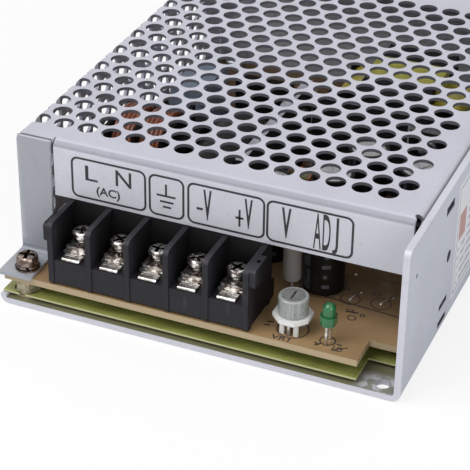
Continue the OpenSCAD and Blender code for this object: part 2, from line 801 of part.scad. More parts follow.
// The can of an electrolytic capacitor, with a scored vent in its end
module can(d, h) {
    inner = d - 2 * sleeve_t;
    difference() {
        cylinder(d = inner, h = h - sleeve_t);
        for (a = [0, 60, 120]) rotate(a) translate([-inner * 0.36, -0.2, h - sleeve_t - 0.3])
            cube([inner * 0.72, 0.4, cut]);
    }
}

// Its shrink sleeve, turned in over the rim
module sleeve(d, h) {
    difference() {
        cylinder(d = d, h = h);
        translate([0, 0, -cut]) cylinder(d = d - 2 * sleeve_t, h = h - sleeve_t + cut);
        cylinder(d = d - 1.6, h = h + cut);
    }
}

module output_capacitor_cans() {
    color("silver") place() for (c = out_caps) at(c, board_top) can(out_cap_d, out_cap_h);
}

module output_capacitor_sleeves() {
    color([0.1, 0.1, 0.12]) place() for (c = out_caps) at(c, board_top) sleeve(out_cap_d, out_cap_h);
}

module lay_bulk() {
    at([bulk[0], bulk[1] + bulk_l], board_top + bulk_d / 2) rotate([90, 0, 0]) mirror([0, 0, 1])
        translate([0, 0, -bulk_l]) children();
}

module bulk_capacitor_can() {
    color("silver") place() lay_bulk() can(bulk_d, bulk_l);
}

module bulk_capacitor_sleeve() {
    color([0.1, 0.1, 0.12]) place() lay_bulk() sleeve(bulk_d, bulk_l);
}

module small_capacitor_cans() {
    color("silver") place() for (c = small_caps) at(c, board_top) can(small_cap_d, small_cap_h);
}

module small_capacitor_sleeves() {
    color([0.1, 0.1, 0.12]) place() for (c = small_caps) at(c, board_top)
        sleeve(small_cap_d, small_cap_h);
}

module x_capacitor() {
    color([0.55, 0.6, 0.66]) place() at(x_cap, board_top)
        upright_block([x_cap_w, x_cap_l, x_cap_h], 0.6);
}

// A disc capacitor standing on edge across X, with two leads
module disc_capacitor(d, t) {
    lift = 2;
    translate([-t / 2, 0, lift + d / 2]) rotate([0, 90, 0]) cylinder(d = d, h = t);
    for (y = [-2.5, 2.5]) translate([-0.3, y - 0.3, 0]) cube([0.6, 0.6, lift + d / 2]);
}

module y_capacitors() {
    color([0.2, 0.4, 0.7]) place() for (p = y_caps) at(p, board_top)
        disc_capacitor(y_cap_d, 3.2);
}

module snubber_capacitors() {
    color([0.2, 0.4, 0.7]) place() for (p = snubbers) at(p, board_top)
        disc_capacitor(6.5, 2.6);
}

module thermistor() {
    color([0.15, 0.2, 0.15]) place() at(thermistor_place, board_top) disc_capacitor(10, 3.6);
}

// ---------------------------------------------------------------- fuse

fuse_d = 5;
fuse_l = 20;
fuse_cap_l = 5;
fuse_z = 5.2;

module lay_fuse(y0) {
    at([fuse_place[0], fuse_place[1] + y0], board_top + fuse_z) rotate([-90, 0, 0]) children();
}

module fuse_glass() {
    color([0.8, 0.85, 0.85]) place() lay_fuse(fuse_cap_l)
        cylinder(d = fuse_d - 0.4, h = fuse_l - 2 * fuse_cap_l);
}

module fuse_caps() {
    color("silver") place() for (y = [0, fuse_l - fuse_cap_l]) lay_fuse(y)
        cylinder(d = fuse_d, h = fuse_cap_l);
}

module fuse_clips() {
    jaw = 0.4;
    color("silver") place() for (y = [0.6, fuse_l - fuse_cap_l + 0.4])
        at([fuse_place[0], fuse_place[1] + y], board_top) difference() {
            union() {
                for (side = [-1, 1]) translate([side * (fuse_d / 2 + jaw / 2 + 0.05) - jaw / 2, 0, 0])
                    cube([jaw, 4, fuse_z + fuse_d * 0.3]);
                translate([-fuse_d / 2 - 0.1, 0, 1.6]) cube([fuse_d + 0.2, 4, jaw]);
            }
            translate([0, -cut, fuse_z]) rotate([-90, 0, 0]) cylinder(d = fuse_d + 2 * running, h = 4 + 2 * cut);
        }
}

// ---------------------------------------------------------------- wound parts

module line_choke_core() {
    color([0.15, 0.15, 0.17]) place() at(choke, board_top + choke_axis_z) {
        translate([-choke_l / 2, 0, 0]) rotate([0, 90, 0]) cylinder(d = choke_limb_d, h = choke_l);
        for (x = [-choke_l / 2 - choke_yoke + 0.05, choke_l / 2 - 0.05])
            translate([x, -choke_limb_d / 2, -choke_limb_d / 2])
                cube([choke_yoke, choke_return_y + choke_limb_d, choke_limb_d]);
        translate([-choke_l / 2 - 1, choke_return_y - choke_limb_d / 2 + 0.5, -choke_limb_d / 2])
            cube([choke_l + 2, choke_limb_d - 0.5, choke_limb_d]);
    }
}

module line_choke_bobbin() {
    flange = choke_d + choke_wire_d + 1.4;
    color([0.12, 0.12, 0.13]) place() at(choke, board_top + choke_axis_z) difference() {
        union() {
            translate([-choke_l / 2 + 0.3, 0, 0]) rotate([0, 90, 0])
                cylinder(d = choke_limb_d + 2, h = choke_l - 0.6);
            for (x = [-choke_l / 2 + 0.3, -choke_flange_t / 2, choke_l / 2 - 0.3 - choke_flange_t])
                translate([x, -flange / 2 + 0.5, -choke_axis_z])
                    cube([choke_flange_t, flange - 1, choke_axis_z + choke_d * 0.42]);
        }
        translate([-choke_l, 0, 0]) rotate([0, 90, 0]) cylinder(d = choke_limb_d + fit, h = 2 * choke_l);
        translate([-choke_l, choke_return_y - choke_limb_d / 2 - fit, -choke_limb_d / 2 - fit])
            cube([2 * choke_l, choke_limb_d + 2, choke_limb_d + 2 * fit]);
    }
}

// Two windings of round wire; every turn shows as a ridge
module line_choke_windings() {
    start = choke_limb_d / 2 + 1.05;
    core_r = choke_d / 2 - choke_wire_d / 2;
    first = -choke_l / 2 + 0.3 + choke_flange_t + running;
    second = choke_flange_t / 2 + running;
    color([0.65, 0.3, 0.15]) place() for (x = [first, second])
        at([choke[0] + x, choke[1]], board_top + choke_axis_z) rotate([0, 90, 0]) rotate_extrude() {
            translate([start, 0]) square([core_r - start, choke_turns * choke_wire_pitch]);
            for (i = [0 : choke_turns - 1])
                translate([core_r, (i + 0.5) * choke_wire_pitch]) circle(d = choke_wire_d, $fn = 24);
        }
}

module output_choke_core() {
    color([0.5, 0.5, 0.3]) place() at(ring, ring_z()) rotate([90, 0, 0]) rotate_extrude()
        translate([ring_r, 0]) circle(ring_section_r);
}

function ring_z() = board_top + ring_r + ring_section_r + seat;

module output_choke_winding() {
    turns = 12;
    color([0.7, 0.35, 0.15]) place() at(ring, ring_z()) rotate([90, 0, 0])
        for (i = [0 : turns - 1]) rotate(-60 + 300 / (turns - 1) * i) translate([ring_r, 0, 0])
            rotate([90, 0, 0]) rotate_extrude() translate([ring_section_r + ring_wire_d / 2 + 0.02, 0])
                circle(d = ring_wire_d, $fn = 24);
}

// Transformer: two E cores closed round a bobbin whose axis runs along Y
core_z = 2;
limb_t = 4;
centre_limb_t = 6;
back_t = 6;

module transformer_core() {
    window = (core_h - 2 * limb_t - centre_limb_t) / 2;
    color([0.14, 0.14, 0.16]) place() at([core[0] - core_w / 2, core[1]], board_top + core_z) difference() {
        cube([core_w, core_l, core_h]);
        for (z = [limb_t, limb_t + window + centre_limb_t]) translate([-cut, back_t, z])
            cube([core_w + 2 * cut, core_l - 2 * back_t, window]);
        translate([-cut, core_l / 2 - 0.15, -cut]) cube([core_w + 2 * cut, 0.3, 0.6 + cut]);
        translate([-cut, core_l / 2 - 0.15, core_h - 0.6]) cube([core_w + 2 * cut, 0.3, 0.6 + cut]);
    }
}

// A band of tape over the upper limb where the two halves of the core meet
module core_tape() {
    tape_t = 0.3;
    at_z = board_top + core_z + core_h - limb_t;
    color([0.9, 0.8, 0.2]) place() at([core[0], core[1] + core_l / 2], at_z) difference() {
        translate([-core_w / 2 - tape_t, -tape_w / 2, 0]) cube([core_w + 2 * tape_t, tape_w, limb_t + tape_t]);
        translate([-core_w / 2, -tape_w / 2 - cut, -cut]) cube([core_w, tape_w + 2 * cut, limb_t + cut]);
    }
}

module transformer_bobbin() {
    tube = core_l - 2 * back_t - 0.6;
    inner_h = centre_limb_t + 0.4;
    flange_h = core_h - 2 * limb_t - 0.6;
    centre_z = board_top + core_z + core_h / 2;
    color([0.1, 0.1, 0.11]) place() at([core[0], core[1] + back_t + 0.3], centre_z) difference() {
        union() {
            for (y = [0, tube - 1]) translate([-winding_w / 2 - 0.6, y, -flange_h / 2])
                cube([winding_w + 1.2, 1, flange_h]);
            translate([-core_w / 2 - 1, 0, -inner_h / 2 - 0.8]) cube([core_w + 2, tube, inner_h + 1.6]);
            // legs down to the board on both sides
            for (side = [-1, 1], y = [0, tube - 1])
                translate([side * (winding_w / 2 - 1.4) - 2, y, -centre_z + board_top])
                    cube([4, 1, centre_z - board_top]);
        }
        translate([-core_w / 2 - 0.2, -cut, -inner_h / 2]) cube([core_w + 0.4, tube + 2 * cut, inner_h]);
    }
}

module transformer_winding() {
    l = core_l - 2 * back_t - 3;
    h = core_h - 2 * limb_t - 0.8;
    inner_w = core_w + 2.2;
    inner_h = centre_limb_t + 2.2;
    centre_z = board_top + core_z + core_h / 2;
    color([0.85, 0.75, 0.15]) place() at([core[0], core[1] + core_l / 2], centre_z) rotate([90, 0, 0])
        translate([0, 0, -l / 2]) linear_extrude(l) difference() {
            translate([-winding_w / 2, -h / 2]) round_rect(winding_w, h, h * 0.3);
            square([inner_w, inner_h], center = true);
        }
}

// ---------------------------------------------------------------- heatsinks and semiconductors

screw_hole_z = 17;

module primary_heatsink() {
    color("silver") place() difference() {
        union() {
            translate([heatsink_x, heatsink_y[0], board_top + seat])
                cube([heatsink_t, heatsink_y[1] - heatsink_y[0], heatsink_h]);
            for (y = [heatsink_y[0] + 3, heatsink_y[1] - 5]) translate([heatsink_x, y, board_top])
                cube([heatsink_t, 2, seat + 0.1]);
        }
        translate([heatsink_x - cut, transistor_y, board_top + screw_hole_z]) rotate([0, 90, 0])
            cylinder(d = screw_d + fit, h = heatsink_t + 2 * cut);
    }
}

module secondary_heatsink() {
    color("silver") place() difference() {
        union() {
            translate([rear_sink_x[0], rear_sink_y, board_top + seat])
                cube([rear_sink_x[1] - rear_sink_x[0], heatsink_t, heatsink_h]);
            for (x = [rear_sink_x[0] + 3, rear_sink_x[1] - 5]) translate([x, rear_sink_y, board_top])
                cube([2, heatsink_t, seat + 0.1]);
        }
        translate([rectifier_x, rear_sink_y - cut, board_top + screw_hole_z]) rotate([-90, 0, 0])
            cylinder(d = screw_d + fit, h = heatsink_t + 2 * cut);
    }
}

pad_t = 0.2;
device_w = 10;
device_t = 4.4;
tab_t = 1.3;

// A three lead power device on its tab: back at y = 0, screw hole above the body
module power_device() {
    body_z = 4.5;
    body_h = 9.2;
    difference() {
        union() {
            translate([-device_w / 2, -device_t, body_z]) cube([device_w, device_t, body_h]);
            translate([-device_w / 2, -tab_t, body_z + body_h - 0.1]) cube([device_w, tab_t, 6.1]);
            for (x = [-2.54, 0, 2.54]) translate([x - 0.4, -2.7, 0]) cube([0.8, 0.5, body_z + 0.1]);
        }
        translate([0, cut, screw_hole_z]) rotate([90, 0, 0]) cylinder(d = screw_d + fit, h = tab_t + 2 * cut);
    }
}

module power_transistor() {
    color([0.12, 0.12, 0.13]) place() at([heatsink_x - pad_t, transistor_y], board_top) rotate(-90)
        power_device();
}

module output_rectifier() {
    color([0.12, 0.12, 0.13]) place() at([rectifier_x, rear_sink_y - pad_t], board_top) power_device();
}

module pad() {
    difference() {
        translate([-device_w / 2 - 0.8, 0, 3.5]) cube([device_w + 1.6, pad_t, 17]);
        translate([0, -cut, screw_hole_z]) rotate([-90, 0, 0]) cylinder(d = screw_d + fit, h = pad_t + 2 * cut);
    }
}

module insulating_pads() {
    color([0.7, 0.7, 0.72]) place() {
        at([heatsink_x - pad_t, transistor_y], board_top) rotate(-90) pad();
        at([rectifier_x, rear_sink_y - pad_t], board_top) pad();
    }
}

// The screw comes through the tab from the front and its point shows behind the plate
module device_screw() {
    translate([0, -tab_t, screw_hole_z]) rotate([90, 0, 0]) {
        pan_head(screw_head_d, screw_head_h, 30);
        length = tab_t + pad_t + heatsink_t + 0.8;
        translate([0, 0, -length]) cylinder(d = screw_d, h = length + 0.1);
    }
}

module device_screws() {
    color("silver") place() {
        at([heatsink_x - pad_t, transistor_y], board_top) rotate(-90) device_screw();
        at([rectifier_x, rear_sink_y - pad_t], board_top) device_screw();
    }
}

module bridge_rectifier() {
    color([0.12, 0.12, 0.13]) place() at(bridge, board_top) {
        translate([-7.5, -1.8, 3]) cube([15, 3.6, 11]);
        for (x = [-5.7, -1.9, 1.9, 5.7]) translate([x - 0.4, -0.25, 0]) cube([0.8, 0.5, 3.1]);
    }
}

// A dual in-line package with its pins on the board
module dip(pins, length) {
    difference() {
        translate([-length / 2, -3.2, 0.6]) cube([length, 6.4, 3.4]);
        translate([-length / 2, 0, 3.6]) cylinder(d = 1.6, h = cut);
    }
    for (i = [0 : pins / 2 - 1], side = [-1, 1])
        translate([(i - (pins / 2 - 1) / 2) * lead_pitch - 0.3, side * 3.6 - 0.15, 0]) {
            cube([0.6, 0.3, 2.4]);
            translate([0, side > 0 ? -0.5 : 0, 2.1]) cube([0.6, 0.8, 0.3]);
        }
}

module control_ic() {
    color([0.12, 0.12, 0.13]) place() at(ic_place, board_top) dip(8, 9.6);
}

module optocoupler() {
    color("whitesmoke") place() at(opto_place, board_top) rotate(90) dip(4, 4.8);
}

// ---------------------------------------------------------------- resistors

// An axial body along Z from z = 0, with rounded ends
module axial_body(d, l) {
    rotate_extrude() {
        square([d / 2 - 0.6, l]);
        translate([0, 0.6]) square([d / 2, l - 1.2]);
        for (z = [0.6, l - 0.6]) translate([d / 2 - 0.6, z]) circle(0.6);
    }
}

module tall_resistor() {
    lift = 2;
    color([0.6, 0.58, 0.55]) place() at(tall_place, board_top) {
        translate([0, 0, lift]) axial_body(tall_d, tall_l);
        cylinder(d = 0.7, h = lift + 0.2);
        translate([0, 0, lift + tall_l - 0.2]) cylinder(d = 0.7, h = 1.4);
        translate([0, 0, lift + tall_l + 0.85]) rotate([-90, 0, 0]) cylinder(d = 0.7, h = 3);
        translate([0, 3, 0]) cylinder(d = 0.7, h = lift + tall_l + 1.2);
    }
}

// A resistor lying along X with both leads bent down to the board
module flat_resistor(d, l) {
    z = d / 2 + 0.4;
    translate([-l / 2, 0, z]) rotate([0, 90, 0]) axial_body(d, l);
    for (side = [-1, 1]) {
        translate([side * (l / 2 + 0.9) - 1.2, 0, z]) rotate([0, 90, 0]) cylinder(d = 0.6, h = 2.4);
        translate([side * (l / 2 + 1.8), 0, 0]) cylinder(d = 0.6, h = z + 0.3);
    }
}

module resistors() {
    color([0.75, 0.65, 0.5]) place() for (p = resistor_places) at(p, board_top)
        flat_resistor(resistor_d, resistor_l);
}

// ---------------------------------------------------------------- the pieces

chassis();
cover();
insulation_sheet();
circuit_board();
standoffs();
board_screws();
tab_screw();
tab_spring_washer();
tab_flat_washer();
cover_screws();
terminal_block();
terminal_plates();
clamp_washers();
terminal_spring_washers();
line_screw();
neutral_screw();
earth_screw();
minus_screw();
plus_screw();
trimmer_base();
trimmer_pins();
trimmer_knob();
led_lens();
led_leads();
output_capacitor_cans();
output_capacitor_sleeves();
bulk_capacitor_can();
bulk_capacitor_sleeve();
line_choke_core();
line_choke_bobbin();
line_choke_windings();
x_capacitor();
y_capacitors();
fuse_glass();
fuse_caps();
fuse_clips();
thermistor();
bridge_rectifier();
transformer_core();
core_tape();
transformer_bobbin();
transformer_winding();
primary_heatsink();
secondary_heatsink();
power_transistor();
output_rectifier();
insulating_pads();
device_screws();
output_choke_core();
output_choke_winding();
control_ic();
optocoupler();
tall_resistor();
resistors();
snubber_capacitors();
small_capacitor_cans();
small_capacitor_sleeves();
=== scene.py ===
"""Looks of an enclosed switching power supply with a perforated cover.

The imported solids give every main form. This script gives them their finishes and adds the
printed marks, the screen print on the board, the wires, threads and other small work.
"""
import logging
import math
from dataclasses import dataclass, field
from enum import Enum
from typing import Callable, Iterable, Sequence

import bmesh
import bpy
from mathutils import Matrix, Vector


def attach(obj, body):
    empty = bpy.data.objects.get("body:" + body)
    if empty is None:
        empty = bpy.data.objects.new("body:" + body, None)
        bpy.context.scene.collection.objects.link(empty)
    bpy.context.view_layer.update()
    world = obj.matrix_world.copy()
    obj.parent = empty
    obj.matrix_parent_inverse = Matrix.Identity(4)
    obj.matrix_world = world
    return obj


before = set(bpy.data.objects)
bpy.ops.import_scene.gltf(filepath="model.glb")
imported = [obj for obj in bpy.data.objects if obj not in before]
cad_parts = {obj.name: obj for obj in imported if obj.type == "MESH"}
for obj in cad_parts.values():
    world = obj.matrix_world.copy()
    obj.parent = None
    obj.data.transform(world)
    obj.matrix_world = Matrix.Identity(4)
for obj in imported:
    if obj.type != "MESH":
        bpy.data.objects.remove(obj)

LOG = logging.getLogger("power_supply")
MM = 0.001
HALF_WIDTH = 49.0  # half the case's width, in millimetres, from its corner to the frame's origin
HALF_DEPTH = 64.5  # half the case's depth, in millimetres
Point = tuple[float, float, float]
Flat = tuple[float, float]
Colour = tuple[float, float, float]


# ------------------------------------------------------------------ shader graph


class Sock:
    """One output socket that takes part in arithmetic; each operation adds its Math node."""

    def __init__(self, graph: "Graph", socket: bpy.types.NodeSocket) -> None:
        """Keeps the graph that the socket belongs to.

        Args:
            graph: the material's graph.
            socket: the output socket.
        """
        self.graph = graph
        self.socket = socket

    def _math(
        self, operation: str, a: "Sock | float", b: "Sock | float" = 0.0, clamp: bool = False
    ) -> "Sock":
        """Adds one Math node.

        Args:
            operation: the node's operation.
            a: first value.
            b: second value.
            clamp: whether the result is held between 0 and 1.

        Returns:
            The result's socket.
        """
        return self.graph.node(
            "ShaderNodeMath", {"operation": operation, "use_clamp": clamp}, {0: a, 1: b}
        )

    def __add__(self, other: "Sock | float") -> "Sock":
        """self + other."""
        return self._math("ADD", self, other)

    def __radd__(self, other: float) -> "Sock":
        """other + self."""
        return self._math("ADD", other, self)

    def __sub__(self, other: "Sock | float") -> "Sock":
        """self - other."""
        return self._math("SUBTRACT", self, other)

    def __rsub__(self, other: float) -> "Sock":
        """other - self."""
        return self._math("SUBTRACT", other, self)

    def __mul__(self, other: "Sock | float") -> "Sock":
        """self * other."""
        return self._math("MULTIPLY", self, other)

    def __rmul__(self, other: float) -> "Sock":
        """other * self."""
        return self._math("MULTIPLY", other, self)

    def __truediv__(self, other: "Sock | float") -> "Sock":
        """self / other."""
        return self._math("DIVIDE", self, other)

    def __rtruediv__(self, other: float) -> "Sock":
        """other / self."""
        return self._math("DIVIDE", other, self)

    def __pow__(self, other: "Sock | float") -> "Sock":
        """self ** other."""
        return self._math("POWER", self, other)

    def __abs__(self) -> "Sock":
        """The size of self."""
        return self._math("ABSOLUTE", self)

    def __gt__(self, other: "Sock | float") -> "Sock":
        """1 where self is greater than other, else 0."""
        return self._math("GREATER_THAN", self, other)

    def __lt__(self, other: "Sock | float") -> "Sock":
        """1 where self is less than other, else 0."""
        return self._math("LESS_THAN", self, other)

    def clamp(self) -> "Sock":
        """self held between 0 and 1."""
        return self._math("ADD", self, 0.0, clamp=True)

    def cycle(self, length: float) -> "Sock":
        """self counted from 0 to length again and again; self must be positive."""
        return self._math("MODULO", self, length)

    def wave(self, length: float) -> "Sock":
        """A sine of self with the given wavelength, from 0 to 1."""
        return self._math("SINE", self * (2 * math.pi / length)) * 0.5 + 0.5


class Space(Enum):
    """Where a texture takes its place from."""

    OBJECT = "Object"
    GENERATED = "Generated"


class Graph:
    """A material with one Principled shader and the nodes that feed it."""

    def __init__(self, name: str) -> None:
        """Makes an empty node material.

        Args:
            name: the material's name.
        """
        self.material = bpy.data.materials.new(name)
        self.material.use_nodes = True
        self.tree = self.material.node_tree
        self.tree.nodes.clear()
        self.shader = self.tree.nodes.new("ShaderNodeBsdfPrincipled")
        self.output = self.tree.nodes.new("ShaderNodeOutputMaterial")
        self.tree.links.new(self.shader.outputs[0], self.output.inputs[0])

    def node(
        self,
        kind: str,
        settings: dict[str, object] | None = None,
        inputs: dict[int | str, object] | None = None,
        out: int | str = 0,
    ) -> Sock:
        """Adds any node: its settings first, then the values or links of its sockets.

        Args:
            kind: the node's type.
            settings: attributes, and for a ramp "stops" as (place, colour) pairs.
            inputs: socket index or name to a value or a Sock.
            out: the output that is handed back.

        Returns:
            The chosen output.
        """
        made = self.tree.nodes.new(kind)
        for key, value in (settings or {}).items():
            if key == "stops":
                ramp = made.color_ramp
                while len(ramp.elements) < len(value):
                    ramp.elements.new(0.5)
                for element, (place, colour) in zip(ramp.elements, value):
                    element.position = place
                    element.color = (*colour, 1.0)
            else:
                setattr(made, key, value)
        for key, value in (inputs or {}).items():
            self.feed(made.inputs[key], value)
        return Sock(self, made.outputs[out])

    def feed(self, socket: bpy.types.NodeSocket, value: object) -> None:
        """Links a Sock to a socket, or sets a plain value on it.

        Args:
            socket: the input.
            value: a Sock, a number, a colour or a vector.
        """
        if isinstance(value, Sock):
            self.tree.links.new(value.socket, socket)
        elif hasattr(value, "__len__") and socket.type == "RGBA" and len(value) == 3:
            socket.default_value = (*value, 1.0)
        else:
            socket.default_value = value

    def set(self, **values: object) -> None:
        """Sets or feeds the shader's own sockets, named with underscores for spaces."""
        for key, value in values.items():
            self.feed(self.shader.inputs[key.replace("_", " ")], value)

    def mix(self, mask: "Sock | float", a: "Sock | Colour", b: "Sock | Colour") -> Sock:
        """Mixes two colours: a where the mask is 0, b where it is 1."""
        return self.node("ShaderNodeMix", {"data_type": "RGBA"}, {0: mask, 6: a, 7: b}, 2)

    def shade(self, colour: "Sock | Colour", mask: "Sock | float", tint: Colour) -> Sock:
        """Multiplies a colour by a tint where the mask is 1."""
        settings = {"data_type": "RGBA", "blend_type": "MULTIPLY"}
        return self.node("ShaderNodeMix", settings, {0: mask, 6: colour, 7: tint}, 2)

    def place(self, stretch: Point = (1, 1, 1), space: Space = Space.OBJECT) -> Sock:
        """Texture coordinates, stretched along the axes."""
        where = self.node("ShaderNodeTexCoord", out=space.value)
        return self.node("ShaderNodeVectorMath", {"operation": "MULTIPLY"}, {0: where, 1: stretch})

    def axes(self) -> tuple[Sock, Sock, Sock]:
        """The three coordinates of a point, in millimetres of the row frame."""
        parts = self.node("ShaderNodeSeparateXYZ", None, {0: self.place((1000, 1000, 1000))})
        node = parts.socket.node
        return tuple(Sock(self, node.outputs[i]) for i in range(3))

    def facing(self) -> tuple[Sock, Sock, Sock]:
        """The three parts of the surface's own direction."""
        normal = self.node("ShaderNodeNewGeometry", out="Normal")
        node = self.node("ShaderNodeSeparateXYZ", None, {0: normal}).socket.node
        return tuple(Sock(self, node.outputs[i]) for i in range(3))

    def noise(
        self, grain: float, detail: float = 3.0, stretch: Point = (1, 1, 1), rough: float = 0.5
    ) -> Sock:
        """Noise with features of a size given in millimetres.

        Args:
            grain: the size of its features.
            detail: how many finer layers it has.
            stretch: how much denser it is along each axis.
            rough: how strong the finer layers are.

        Returns:
            A value round 0.5.
        """
        return self.node(
            "ShaderNodeTexNoise",
            None,
            {"Vector": self.place(stretch), "Scale": 1000 / grain, "Detail": detail, "Roughness": rough},
        )

    def ramp(self, value: Sock, low: float, high: float) -> Sock:
        """0 below low, 1 above high, smooth between."""
        return self.node(
            "ShaderNodeMapRange", {"interpolation_type": "SMOOTHSTEP"}, {0: value, 1: low, 2: high}
        )

    def bump(self, height: Sock, strength: float, depth: float) -> None:
        """Raises the surface by a height from 0 to 1.

        Args:
            height: the height.
            strength: how strongly it shows.
            depth: the real height of a 1, in millimetres.
        """
        normal = self.node(
            "ShaderNodeBump", None, {"Strength": strength, "Distance": depth * MM, "Height": height}
        )
        self.set(Normal=normal)


# ------------------------------------------------------------------ finishes


@dataclass(frozen=True)
class MillSheet:
    """Plain sheet metal with its rolling grain, fine spangle and faint stains."""

    body: Colour = (0.60, 0.60, 0.66)
    metallic: float = 0.4
    rough: float = 0.52

    def regions(self, g: Graph, colour: Sock) -> Sock:
        """Changes the colour in parts of the sheet; the plain sheet has none.

        Args:
            g: the material's graph; not used by the plain sheet.
            colour: the sheet's colour.

        Returns:
            The changed colour.
        """
        return colour

    def material(self, name: str) -> bpy.types.Material:
        """Builds the material."""
        g = Graph(name)
        grain = g.noise(0.5, 4, (1, 0.03, 1))
        cloud = g.noise(14, 3)
        spangle = g.noise(0.7, 4, rough=0.7)
        stain = g.ramp(g.noise(1.3, 2), 0.64, 0.76)
        dark = tuple(c * 0.92 for c in self.body)
        pale = tuple(min(1.0, c * 1.05) for c in self.body)
        colour = g.mix(g.ramp(cloud, 0.35, 0.68), dark, self.body)
        colour = g.mix(grain * 0.5, colour, pale)
        colour = g.shade(colour, g.ramp(spangle, 0.5, 0.7) * 0.35, (0.80, 0.81, 0.84))
        colour = g.shade(colour, stain * 0.3, (0.70, 0.68, 0.66))
        colour = self.regions(g, colour)
        g.set(Base_Color=colour, Metallic=self.metallic, Roughness=(self.rough + grain * 0.12 + cloud * 0.06))
        g.bump(grain * 0.6 + spangle * 0.4, 0.15, 0.05)
        return g.material


@dataclass(frozen=True)
class CoverSheet(MillSheet):
    """The cover: a greyer corner flange, with painted shade on the bends, in the hole walls and over the
    inner side.
    """

    def regions(self, g: Graph, colour: Sock) -> Sock:
        """Darkens the flange, the tab and the top, and paints shade on the bends, the hole walls and the
        inner side.
        """
        x, y, z = g.axes()
        nx, ny, nz = g.facing()
        front = g.ramp(0.0 - ny, 0.5, 0.8)
        flange = front * (x < -39.7) * (y < -50.0)
        colour = g.shade(colour, flange, (0.59, 0.61, 0.61))
        colour = g.shade(colour, g.ramp(nz, 0.5, 0.8) * (z < 12.0), (0.66, 0.68, 0.68))
        colour = g.shade(colour, g.ramp(nz, 0.8, 0.95) * (z > 30.0), (0.90, 0.90, 0.92))
        # painted shade: a darker line along the front bends
        bend_painted_shade = g.ramp(nz, 0.12, 0.4) * g.ramp(nz, 0.96, 0.8) * (y < -49.0)
        colour = g.shade(colour, bend_painted_shade, (0.50, 0.52, 0.53))
        # painted shade in the walls of the holes in the top and in the left wall
        hole_walls_painted_shade = g.ramp(abs(nz), 0.35, 0.1) * (z > 36.2) * (z < 37.95) * (y > -49.6) * (y < 62.0)
        side_holes_painted_shade = g.ramp(abs(nx), 0.35, 0.1) * (x < -48.1) * (z < 36.5) * (y > -49.0)
        inner_x = (x > -48.3) * (x < 46.9)
        colour = g.shade(colour, (hole_walls_painted_shade * inner_x).clamp(), (0.22, 0.22, 0.24))
        colour = g.shade(colour, side_holes_painted_shade, (0.50, 0.50, 0.54))
        # painted shade on the inner side: the underside of the top and the back of the lip
        below = g.ramp(0.0 - nz, 0.5, 0.8) * (z > 30.0)
        lip_back_painted_shade = g.ramp(ny, 0.5, 0.8) * (y < -45.0)
        return g.shade(colour, (below + lip_back_painted_shade).clamp(), (0.16, 0.16, 0.17))


@dataclass(frozen=True)
class ChassisSheet(MillSheet):
    """The chassis: a greyer wall with a plain rating field, painted shade inside the wall, and a floor with
    painted shade and a painted olive reflection of the insulating sheet.
    """

    field_y: Flat = (-28.8, 29.5)
    field_z: Flat = (4.6, 34.6)
    bar_y: Flat = (-26.4, -21.2)
    bar_z: Flat = (19.0, 26.0)

    def within(self, value: Sock, limits: Flat, inset: float = 0.0) -> Sock:
        """1 where a value lies between two limits.

        Args:
            value: the value.
            limits: the lower and upper limit.
            inset: how far both limits are drawn in.

        Returns:
            The mask.
        """
        return (value > limits[0] + inset) * (value < limits[1] - inset)

    def rating(self, g: Graph, colour: Sock, y: Sock, z: Sock, outside: Sock) -> Sock:
        """Lays the plain rating field on the outside of the wall.

        Args:
            g: the material's graph.
            colour: the sheet's colour.
            y: place along the case.
            z: height.
            outside: mask of the wall's outer face.

        Returns:
            The changed colour.
        """
        field = outside * self.within(y, self.field_y) * self.within(z, self.field_z)
        colour = g.mix(field, colour, (0.62, 0.63, 0.66))
        outer = self.within(y, self.field_y, 1.0) * self.within(z, self.field_z, 1.0)
        inner = self.within(y, self.field_y, 1.4) * self.within(z, self.field_z, 1.4)
        colour = g.mix(field * (outer - inner) * 0.8, colour, (0.20, 0.20, 0.22))
        row = z.wave(2.3) > 0.66
        words = g.noise(1.5, 3, (1, 1, 0.05)) > 0.46
        low = self.within(z, (6.4, 17.6)) * self.within(y, self.field_y, 2.6)
        beside = self.within(z, (18.4, 32.0)) * self.within(y, (self.bar_y[1] + 2.0, self.field_y[1] - 2.6))
        colour = g.mix(outside * row * words * (low + beside).clamp() * 0.7, colour, (0.24, 0.24, 0.26))
        bar = outside * self.within(y, self.bar_y) * self.within(z, self.bar_z)
        return g.mix(bar * 0.85, colour, (0.38, 0.19, 0.16))

    def regions(self, g: Graph, colour: Sock) -> Sock:
        """Greys the wall, adds the rating field, and paints shade on the wall's inner face, in its slots and
        on the floor, with a painted olive reflection on the floor and a lighter blotched tint at the front
        corner.
        """
        x, y, z = g.axes()
        nx, _, nz = g.facing()
        outside = g.ramp(nx, 0.5, 0.8) * (x > 48.9)
        colour = g.shade(colour, outside, (0.80, 0.83, 0.84))
        colour = self.rating(g, colour, y, z, outside)
        # painted shade on the inner face of the wall
        colour = g.shade(colour, g.ramp(0.0 - nx, 0.5, 0.8) * (x > 40.0), (0.45, 0.44, 0.42))
        # painted shade in the walls of the slots
        slots = (abs(nx) < 0.5) * (x > 47.55) * (x < 48.9) * (z > 2.5) * (z < 35.0) * (y > -60.0)
        colour = g.shade(colour, slots, (0.16, 0.16, 0.17))
        # painted shade and a painted olive reflection of the insulating sheet on the floor; at the front
        # corner a lighter yellowish tint in blotches instead
        floor = g.ramp(nz, 0.5, 0.8) * (z < 1.7)
        corner = g.ramp(x, 37.0, 41.0) * g.ramp(y, -57.0, -60.0)
        blotch = g.ramp(g.noise(2.2, 2), 0.42, 0.56)
        colour = g.shade(colour, floor * (1.0 - corner), (0.34, 0.33, 0.17))
        return g.shade(colour, floor * corner * blotch, (0.50, 0.50, 0.40))


@dataclass(frozen=True)
class SinkSheet(MillSheet):
    """A heatsink: near black below its bare top edge."""

    def regions(self, g: Graph, colour: Sock) -> Sock:
        """Darkens all but the top edge."""
        _, _, z = g.axes()
        return g.shade(colour, z < 30.75, (0.035, 0.032, 0.030))


